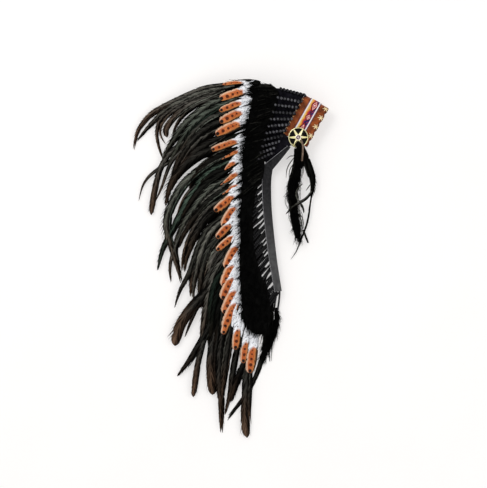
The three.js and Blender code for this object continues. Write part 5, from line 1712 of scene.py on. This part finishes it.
for side, out in SIDES:
    dice = random.Random(61)
    level = LAYS[side][1] + out * QUILL_DROP
    lines = []
    for k in range(QUILL_UNITS):
        seat = seat_at(QUILL_FIRST - QUILL_PITCH * k)
        for shift in QUILL_SHIFTS:
            back = heading(lerp(*QUILL_ANGLES, k / (QUILL_UNITS - 1)) + 0.8 * shift + dice.gauss(0, 1.6))
            aside = Vector((-back.y, back.x))
            start = seat + aside * shift
            bow = aside * dice.uniform(-1.2, 1.2)
            points = [at(start + back * QUILL_RUN * t + bow * 4 * t * (1 - t), level) for t in (0, 0.25, 0.5, 0.75, 1)]
            lines.append((points, {"phase": dice.uniform(0, math.tau)}))
    quills = grow(f"{side}_bound_quills", skeleton("quill_lines", lines), winding, pitch=QUILL_TURN * MM,
                  cord_radius=2.4 * MM, wound_radius=0.9 * MM, core_radius=2.5 * MM, steps=4.0 if out > 0 else 2.5,
                  taper=0.34, material=quill_material)
    place(f"{side}_bound_quills", quills, "bare_quill", f"{side}_trailer_quills")
    backing = []
    for k in range(QUILL_UNITS):
        share = k / (QUILL_UNITS - 1)
        seat = seat_at(QUILL_FIRST - BACKING_DOWN - QUILL_PITCH * k)
        for step in (0.0, 0.5):
            back = heading(lerp(*QUILL_ANGLES, share) + dice.gauss(0, 3.0))
            near = lerp(*BACKING_NEAR, share) + dice.uniform(-4, 5)
            start = seat - Vector((0, QUILL_PITCH * step))
            line = [at(start + back * lerp(near, BACKING_FAR, t / 5), LAYS[side][1] + out * BACKING_OUT)
                    for t in range(6)]
            backing.append(plume(line, BACKING_HALF_WIDTH, dice.random(), lit=dice.uniform(0, 0.12)))
    backing_mesh = grow(f"{side}_quill_backing", skeleton("lines", backing), plume_tree, spacing=9.0 * MM,
                        arch=0.1 * out, nick_scale=70.0, barb_spacing=8.0 * MM, root_angle=0.5, tip_angle=0.3,
                        lift=0.02, seed=37, material=plume_material)
    place(f"{side}_quill_backing", backing_mesh, "dark_plume")

# Black down
# Marabou down sewn over the feather roots in a thick row from the crown to the tail. Its soft locks point the way
# of the feathers and come out over their white bases.

FLUFF_OUT = 8.3
FLUFF_THICK = 15.0
PADDING = 0.62
# Edges of the padded row in plan, from the crown's top to the tail: feather side and quill side.
DOWN_EDGES = (
    ((64, 468), (107, 466)), ((63, 458), (124, 453)), ((65, 447), (128, 439)), ((61, 413), (120, 405)),
    ((47, 367), (110, 362)), ((39, 319), (99, 314)), ((35, 271), (90, 263)), ((33, 226), (89, 235)),
    ((32, 204), (83, 207)), ((31, 180), (67, 186)), ((28, 119), (58, 127)), ((27, 52), (59, 63)), ((26, -7), (66, 9)),
    ((27, -60), (80, -39)), ((30, -108), (99, -81)), ((35, -143), (105, -116)), ((41, -167), (106, -146)),
    ((48, -180), (105, -168)), ((57, -189), (101, -189)), ((68, -194), (95, -200)),
)
CROWN_EDGES = 9
STRAND_COUNT = 64


def down_edges(mark):
    """Feather side and quill side of the padded row at a mark."""
    n = min(int(mark), len(DOWN_EDGES) - 2)
    return [Vector(DOWN_EDGES[n][e]).lerp(Vector(DOWN_EDGES[n + 1][e]), mark - n) for e in (0, 1)]


def down_angle(edge):
    """Angle of the feathers beside a point of the row, for heading."""
    return unit_angle(nearest_mark(edge) / (len(spine_marks) - 1))


def down_bulge(share):
    """Fullness of the row at a share of its width."""
    return math.sqrt(max(0.0, 1 - (2 * share - 1) ** 4))


DOWN_SECTION = [(t, down_bulge(t)) for t in (0.0, 0.06, 0.2, 0.4, 0.6, 0.8, 0.94, 1.0)]


def tuft_mesh(name, fibres, spread, seed, width):
    """A tuft of tapering curved fibres along +X, of unit length."""
    dice = random.Random(seed)
    verts, faces = [], []
    for _ in range(fibres):
        yaw = dice.gauss(0, spread)
        pitch = dice.gauss(0, spread)
        bend_y, bend_z = dice.gauss(0, 0.16), dice.gauss(0, 0.12)
        length = dice.uniform(0.6, 1.0)
        first = len(verts)
        for x, wide in ((0.0, 0.7), (0.35, 1.0), (0.7, 0.7)):
            centre = Vector((x * length, x * math.tan(yaw) * length + bend_y * x * x,
                             x * math.tan(pitch) * length + bend_z * x * x))
            for k in range(3):
                angle = k * math.tau / 3
                verts.append(centre + Vector((0, math.cos(angle), math.sin(angle))) * width * wide)
        verts.append(Vector((length, math.tan(yaw) * length + bend_y, math.tan(pitch) * length + bend_z)))
        faces.append((first, first + 2, first + 1))
        for r in range(2):
            for k in range(3):
                a, b = first + 3 * r + k, first + 3 * r + (k + 1) % 3
                faces.append((a, b, b + 3, a + 3))
        faces += [(first + 6 + k, first + 6 + (k + 1) % 3, first + 9) for k in range(3)]
    mesh = bpy.data.meshes.new(name)
    mesh.from_pydata(verts, [], faces)
    mesh.shade_smooth()
    return mesh


def tuft_group(name, tuft):
    """A tree that covers a padded form with tufts that point along its 'ahead' direction."""
    tree, group_in, group_out = new_tree(name, {
        "Density": 20000.0, "Shortest": 0.02, "Longest": 0.03, "Spread": 0.3, "Lift": 0.25, "Seed": 1})
    value = group_in.outputs
    scattered = add(tree, "GeometryNodeDistributePointsOnFaces", {
        "Mesh": value["Geometry"], "Density": product(tree, value["Density"], named(tree, "cover")),
        "Seed": value["Seed"]})

    def chance(step):
        return result(tree, "FunctionNodeRandomValue", {
            0: (-1.0, -1.0, -1.0), 1: (1.0, 1.0, 1.0), "Seed": calc(tree, "ADD", value["Seed"], step)},
            data_type="FLOAT_VECTOR")

    size = add(tree, "FunctionNodeRandomValue", {
        2: value["Shortest"], 3: value["Longest"], "Seed": calc(tree, "ADD", value["Seed"], 6.0)}).outputs[1]
    direction = vector_sum(tree, named(tree, "ahead", "FLOAT_VECTOR"), along_vector(tree, chance(3.0), value["Spread"]),
                           along_vector(tree, scattered.outputs["Normal"], value["Lift"]))
    real = set_on(tree, scattered.outputs["Points"], tuft, facing(tree, direction, chance(9.0)),
                  xyz(tree, size, size, size))
    gathered = tree.nodes.new("GeometryNodeJoinGeometry")
    tree.links.new(real, gathered.inputs[0])
    tree.links.new(value["Geometry"], gathered.inputs[0])
    return close_tree(tree, group_in, group_out, settled(tree, gathered.outputs[0]))


down_material = mottled_material("black_down", 0.85, (0.0006, 0.0006, 0.0006), (0.0034, 0.0034, 0.0032), (60.0, 500.0),
                                 polish=(0.2, 0.72), Specular_IOR_Level=0.03)


def padded_form(name, rings, aheads, cover):
    """A closed mesh through rings, with the direction and cover of the down on its points."""
    mesh = loft(name, rings, down_material)
    count = len(rings[0])
    set_attributes(mesh, {"ahead": [a for a in aheads for _ in range(count)],
                          "cover": [cover[k] for _ in rings for k in range(count)]})
    return mesh


def down_ring(side, out, start, along, length, fullness):
    """Section of a padded row that lies on a half's surface, from a start point along a plan direction."""
    top, bottom = [], []
    for t, bulge in DOWN_SECTION:
        p = start + along * (length * t)
        base = lay_height(p, side) + out * FLUFF_OUT
        thick = (FLUFF_THICK if out > 0 else base - 0.4) * PADDING
        top.append(at(p, base + out * thick * bulge * fullness))
        bottom.append(at(p, base - out * 0.2))
    return top + bottom[-2:0:-1]


down_cover = [1.0] * len(DOWN_SECTION) + [0.0] * (len(DOWN_SECTION) - 2)


def down_pad(name, side, out, first, last):
    """The padded row under the down, between two of its edge pairs."""
    rings, aheads = [], []
    steps = 60
    for k in range(steps + 1):
        mark = lerp(first, last, k / steps)
        outer_edge, inner_edge = down_edges(mark)
        ahead = heading(down_angle(outer_edge))
        gap = min((outer_edge - Vector(inner).lerp(Vector(tip), -0.3)).length for tip, inner, _ in SPOTTED_ROW)
        outer_edge = outer_edge + ahead * 6.0 * smooth_step(gap, 5, 14)
        across = inner_edge - outer_edge
        fullness = round_off(min(k, steps - k) + 0.4, 6.0)
        rings.append(down_ring(side, out, outer_edge, across.normalized(), across.length, fullness))
        aheads.append(Vector((*ahead, 0)))
    return padded_form(name, rings, aheads, down_cover)


def spaced_values(values, count):
    """Values at even steps through a list."""
    spaced = []
    for i in range(count):
        step = (len(values) - 1) * i / (count - 1)
        k = min(int(step), len(values) - 2)
        spaced.append(lerp(values[k], values[k + 1], step - k))
    return spaced


tuft = helper(tuft_mesh("down_tuft", 9, 0.34, 5, 0.025))
down_tree = tuft_group("Down", tuft)
for side, out in SIDES:
    for region, first, last in (("crown", 0.0, CROWN_EDGES), ("trailer", CROWN_EDGES, len(DOWN_EDGES) - 1)):
        pad = down_pad(f"{side}_{region}_pad", side, out, first, last)
        down = grow(f"{side}_{region}_down", pad, down_tree, density=23000.0 if out > 0 else 5000.0, shortest=9 * MM,
                    longest=23 * MM, spread=0.30, lift=0.20 if out > 0 else 0.02, seed=12 if out > 0 else 13,
                    material=down_material)
        place(f"{side}_{region}_down", down, "black_down", f"{side}_{region}_fluff")

# Long soft strands over the crown's down, combed towards the feathers.
dice = random.Random(91)
strands = []
for _ in range(STRAND_COUNT):
    mark = dice.uniform(0.4, 8.6)
    outer_edge, inner_edge = down_edges(mark)
    start, reach = dice.uniform(0.45, 0.98), dice.uniform(46, 72)
    across = outer_edge - inner_edge
    comb = heading(down_angle(outer_edge) + dice.gauss(0, 7))
    line = []
    for k in range(7):
        p = outer_edge.lerp(inner_edge, start) + comb * (reach * k / 6)
        share = min(max(1 - (p - inner_edge).dot(across) / across.length_squared, 0.0), 1.0)
        droop = 5 * smooth_step(k, 4, 6) * (share == 0)
        line.append(at(p, lay_height(p, "right") + FLUFF_OUT + FLUFF_THICK * PADDING * down_bulge(share) + 1.2 - droop))
    strands.append(plume(line, dice.uniform(1.6, 3.2), dice.random(), dice.gauss(0, 0.3),
                         lit=dice.uniform(0.02, 0.16), green=0.3 * dice.random()))
strand_mesh = grow("crown_down_strands", skeleton("lines", strands), plume_tree, spacing=5.0 * MM, arch=0.3, nicks=0.4,
                   barb_reach=1.4, root_angle=0.35, barb_width=1.2 * MM, barb_thick=0.4 * MM, shaft_radius=0.5 * MM,
                   ruffle=0.15, lift=0.08, seed=35, material=plume_material)
place("crown_down_strands", strand_mesh, "black_down")

# Drops beside the face
# A strip of black fur hangs from each rosette with slim dark plumes, tied by a tan suede lace. The upper drop lies
# over the lower one.

FUR_PATH = ((180, 311), (179, 297), (179, 266), (177, 239), (171, 212), (167, 186), (168, 159), (170, 132), (174, 105),
            (178, 79), (182, 57))
FUR_WIDTHS = (12, 15, 19, 32, 40, 37, 32, 27, 28, 24, 14)
FUR_HEIGHTS = (45.5, 46.5, 35, 26, 21.5, 21, 21, 21, 20.5, 20, 19)
FUR_THICK = 13.0
FUR_POINTS = 24
CORE_SIDES = 10
SLIM_HALF_WIDTH = 5.0
SLIM_POINTED = ((0.0, 0.5), (0.2, 0.95), (0.5, 1.0), (0.8, 0.6), (1.0, 0.12))
SLIM_ROUNDED = ((0.0, 0.9), (0.5, 1.0), (0.8, 0.9), (1.0, 0.5))

fur_tuft = helper(tuft_mesh("fur_tuft", 8, 0.26, 15, 0.017))
fur_tree = tuft_group("Fur", fur_tuft)
slim_tree = feather_group("Slim plume", SLIM_POINTED, SLIM_ROUNDED, plume_barbs)


def fur_core(name, line, widths, thicks, shrink):
    """A soft core along a path, with the fur's direction on it."""
    rings, aheads = [], []
    for k, p in enumerate(line):
        across = left_of(line, k)
        ring = []
        wide, high = (size[k] / 2 * shrink for size in (widths, thicks))
        for s in range(CORE_SIDES):
            angle = math.tau * s / CORE_SIDES
            ring.append(at(p.xy + across * (wide * math.cos(angle)), p.z + high * math.sin(angle)))
        rings.append(ring)
        step = at(line[min(k + 1, len(line) - 1)]) - at(line[max(k - 1, 0)])
        aheads.append(step.normalized())
    return padded_form(name, rings, aheads, [1.0] * CORE_SIDES)


def fur_thick(width):
    """Thickness of the fur drop at a width."""
    return min(FUR_THICK, 0.62 * width)


suede_material = mottled_material("tan_suede", 0.85, (0.10, 0.065, 0.045), (0.24, 0.17, 0.125), (150.0, 1500.0),
                                  (0.0004, 0.7), Specular_IOR_Level=0.2, Sheen_Weight=0.2)

# Slim plumes of each drop: points with heights, breadth, rounded or not, and how lit.
SLIM_LINES = {
    "right": (
        (((194, 295, 38), (202, 271, 30), (210, 250, 24), (217, 228, 19), (220, 207, 17), (219, 186, 15),
          (215, 164, 13)), 1.5, 0, 0.04),
        (((216, 175, 13), (211, 143, 11), (208, 119, 10), (202, 92, 8), (192, 65, 7), (184, 44, 5), (174, 20, 4),
          (160, 0, 3)), 0.55, 0, 0.15),
        (((216, 182, 16), (202, 164, 22), (184, 152, 30), (164, 139, 32), (146, 121, 27)), 0.85, 0, 0.5),
        (((191, 276, 36), (198, 252, 29), (203, 236, 24), (207, 219, 21)), 0.8, 0, 0.2),
        (((190, 303, 42), (193, 284, 37), (196, 264, 31), (198, 244, 26)), 1.5, 0, 0.03),
        (((185, 301, 42), (187, 282, 38), (189, 262, 33), (189, 242, 28)), 1.5, 0, 0.03),
        (((194, 79, 10), (200, 61, 8), (207, 44, 4)), 0.55, 1, 0.3),
        (((168, 271, 46), (156, 255, 41), (149, 239, 35), (147, 218, 29)), 0.3, 0, 0.6),
        (((170, 258, 42), (159, 244, 37), (155, 228, 32), (156, 212, 28)), 0.25, 0, 0.6),
        (((168, 275, 47), (158, 275, 45), (147, 266, 41)), 0.2, 0, 0.6),
        (((190, 202, 32), (178, 188, 30), (174, 172, 29), (182, 154, 28), (190, 138, 25), (195, 125, 21)), 0.42, 0, 0.9),
        (((182, 151, 28), (183, 124, 27), (188, 100, 24), (195, 63, 18)), 0.3, 0, 0.8),
        (((212, 200, 18), (206, 192, 18), (200, 184, 17)), 0.25, 0, 0.3),
        (((186, 150, 28), (192, 138, 25), (194, 124, 22)), 0.55, 0, 0.2),
    ),
    "left": ((((194, 286, 5), (205, 246, 4), (213, 222, 4), (216, 198, 4), (213, 168, 4)), 1.0, 0, 0.25),),
}
LACES = {"right": ((186, 318, 44), (189, 312, 45.5), (191, 300, 52.0), (190.5, 280, 47.2), (189, 262, 41.2)),
         "left": ((199, 292, 15.5), (198, 268, 15.5))}
for side, out in SIDES:
    first = 0 if out > 0 else 1
    if out > 0:
        path = [Vector((*p, h)) for p, h in zip(FUR_PATH, FUR_HEIGHTS)]
    else:
        path = [Vector((p[0] - 6, p[1], fur_thick(w) / 2)) for p, w in zip(FUR_PATH[1:], FUR_WIDTHS[1:])]
    widths = spaced_values(FUR_WIDTHS[first:], FUR_POINTS)
    thicks = spaced_values([fur_thick(w) for w in FUR_WIDTHS[first:]], FUR_POINTS)
    core = fur_core(f"{side}_fur_core", smooth_line(path, FUR_POINTS), widths, thicks, 0.55)
    fur = grow(f"{side}_black_fur", core, fur_tree, density=50000.0 if out > 0 else 11000.0, shortest=12 * MM,
               longest=27 * MM, spread=0.24, lift=0.20, seed=21 if out > 0 else 22, material=down_material)
    place(f"{side}_black_fur", fur, "black_fur", f"{side}_fur_drop")
    dice = random.Random(71 if out > 0 else 73)
    hairs = []
    for _ in range(26 if out > 0 else 8):
        start = dice.uniform(0.15, 0.75)
        stations = smooth_line(path, 41)[round(start * 40):][:dice.randint(9, 13)]
        far = dice.choice((-1, -1, 1)) * dice.uniform(9, 21)
        line = []
        for k, p in enumerate(stations):
            swing = math.sin(math.pi * (0.2 + 0.8 * k / (len(stations) - 1)))
            aside = left_of(stations, k) * -far * swing * 0.9
            line.append(Vector((*(p.xy + aside), max(p.z + dice.uniform(-0.3, 0.3), 1.5))))
        hairs.append((line, dice.uniform(0.08, 0.16), 0, dice.random()))
    slims = [plume([at(p) for p in smooth_line(line, 16)], breadth * SLIM_HALF_WIDTH, dice.random(), blunt=blunt,
                   lit=gloss, green=0.2)
             for line, breadth, blunt, gloss in (*SLIM_LINES[side], *hairs)]
    slim = grow(f"{side}_slim_plumes", skeleton("lines", slims), slim_tree, spacing=3.0 * MM, arch=0.3 * out,
                nick_scale=90.0, barb_spacing=2.8 * MM, barb_reach=1.15, root_angle=0.45, tip_angle=0.25,
                barb_width=1.3 * MM, shaft_radius=0.6 * MM, ruffle=0.12, lift=0.2, seed=23, material=plume_material)
    place(f"{side}_slim_plumes", slim, "dark_plume", f"{side}_drop_plumes")
    lace_line = smooth_line(LACES[side], 18)
    lace_rings = []
    for k, p in enumerate(lace_line):
        across = left_of(lace_line, k)
        lace_rings.append([at(p.xy + across * v, p.z + h) for v, h in strip_section(2.2, 1.6, 0.5)])
    place(f"{side}_suede_lace", loft(f"{side}_suede_lace", lace_rings, suede_material), "thong_leather", f"{side}_thong")

# Tail drop
# A small bunch of black down and dark plumes on the two ties, lying past the end of the trailer and under its
# last plumes.

TAIL_PATH = ((120.5, -129), (121.5, -141), (121.5, -168), (104, -215), (86, -260), (70, -305), (45, -355), (-8, -425))
TAIL_WIDTHS = (11, 20, 33, 29, 20, 10, 8, 3)
TAIL_THICKS = (8, 9, 10, 5, 3.4, 2.6, 2.4, 1.6)
TAIL_POINTS = 20
TAIL_FULL = 5
TAIL_SLIMS = 22
TAIL_STRAND = ((110, -100, 9), (101, -135, 7), (96, -167, 6), (91, -202, 4), (83, -228, 3))
tail_line = smooth_line([Vector((*p, t / 2)) for p, t in zip(TAIL_PATH[:TAIL_FULL], TAIL_THICKS)], TAIL_POINTS)
tail_sizes = [spaced_values(sizes[:TAIL_FULL], TAIL_POINTS) for sizes in (TAIL_WIDTHS, TAIL_THICKS)]
tail_core = fur_core("tail_core", tail_line, *tail_sizes, 0.7)
tail_down = grow("tail_down", tail_core, fur_tree, density=36000.0, shortest=16 * MM, longest=28 * MM, spread=0.2,
                 lift=0.08, seed=31, material=down_material)
place("tail_down", tail_down, "black_down", "tail_drop")
dice = random.Random(81)
tail_feathers = []
for _ in range(TAIL_SLIMS):
    first_x, first_y = dice.uniform(94, 118), dice.uniform(-140, -98)
    last_x, last_y = dice.uniform(74, 108), dice.uniform(-275, -205)
    sway = dice.uniform(-6, 10)
    line = [(lerp(first_x, last_x, t) + sway * math.sin(math.pi * t), lerp(first_y, last_y, t), lerp(9.0, 3.0, t))
            for t in (0, 0.33, 0.67, 1)]
    tail_feathers.append(plume([at(q) for q in smooth_line(line, 12)], dice.uniform(1.5, 4.0), dice.random(),
                               lit=0.3 * dice.random()))
tail_feathers.append(plume([at(p) for p in smooth_line(TAIL_STRAND, 14)], 3.0, 0.4, lit=1.0))
for shift in (-5.0, 0.0, 6.0):
    line = smooth_line([Vector((p[0] + shift * (1 - k / 8), p[1] + shift * 0.6 * k / 3, max(t / 2, 1.6)))
                        for k, (p, t) in enumerate(zip(TAIL_PATH[1:], TAIL_THICKS[1:]))][1:], 18)
    tail_feathers.append(plume([at(p) for p in line], dice.uniform(5.2, 7.2), dice.random(), lit=0.2, green=0.1))
tail_plumes = grow("tail_plumes", skeleton("lines", tail_feathers), slim_tree, spacing=3.5 * MM, barb_spacing=6.0 * MM,
                   barb_reach=1.12, tip_angle=0.2, barb_width=1.6 * MM, seed=33, material=plume_material)
place("tail_plumes", tail_plumes, "dark_plume")

for part in (star, knot, feather_section, tuft, fur_tuft, *plume_barbs, *spotted_barbs):
    bpy.data.objects.remove(part)
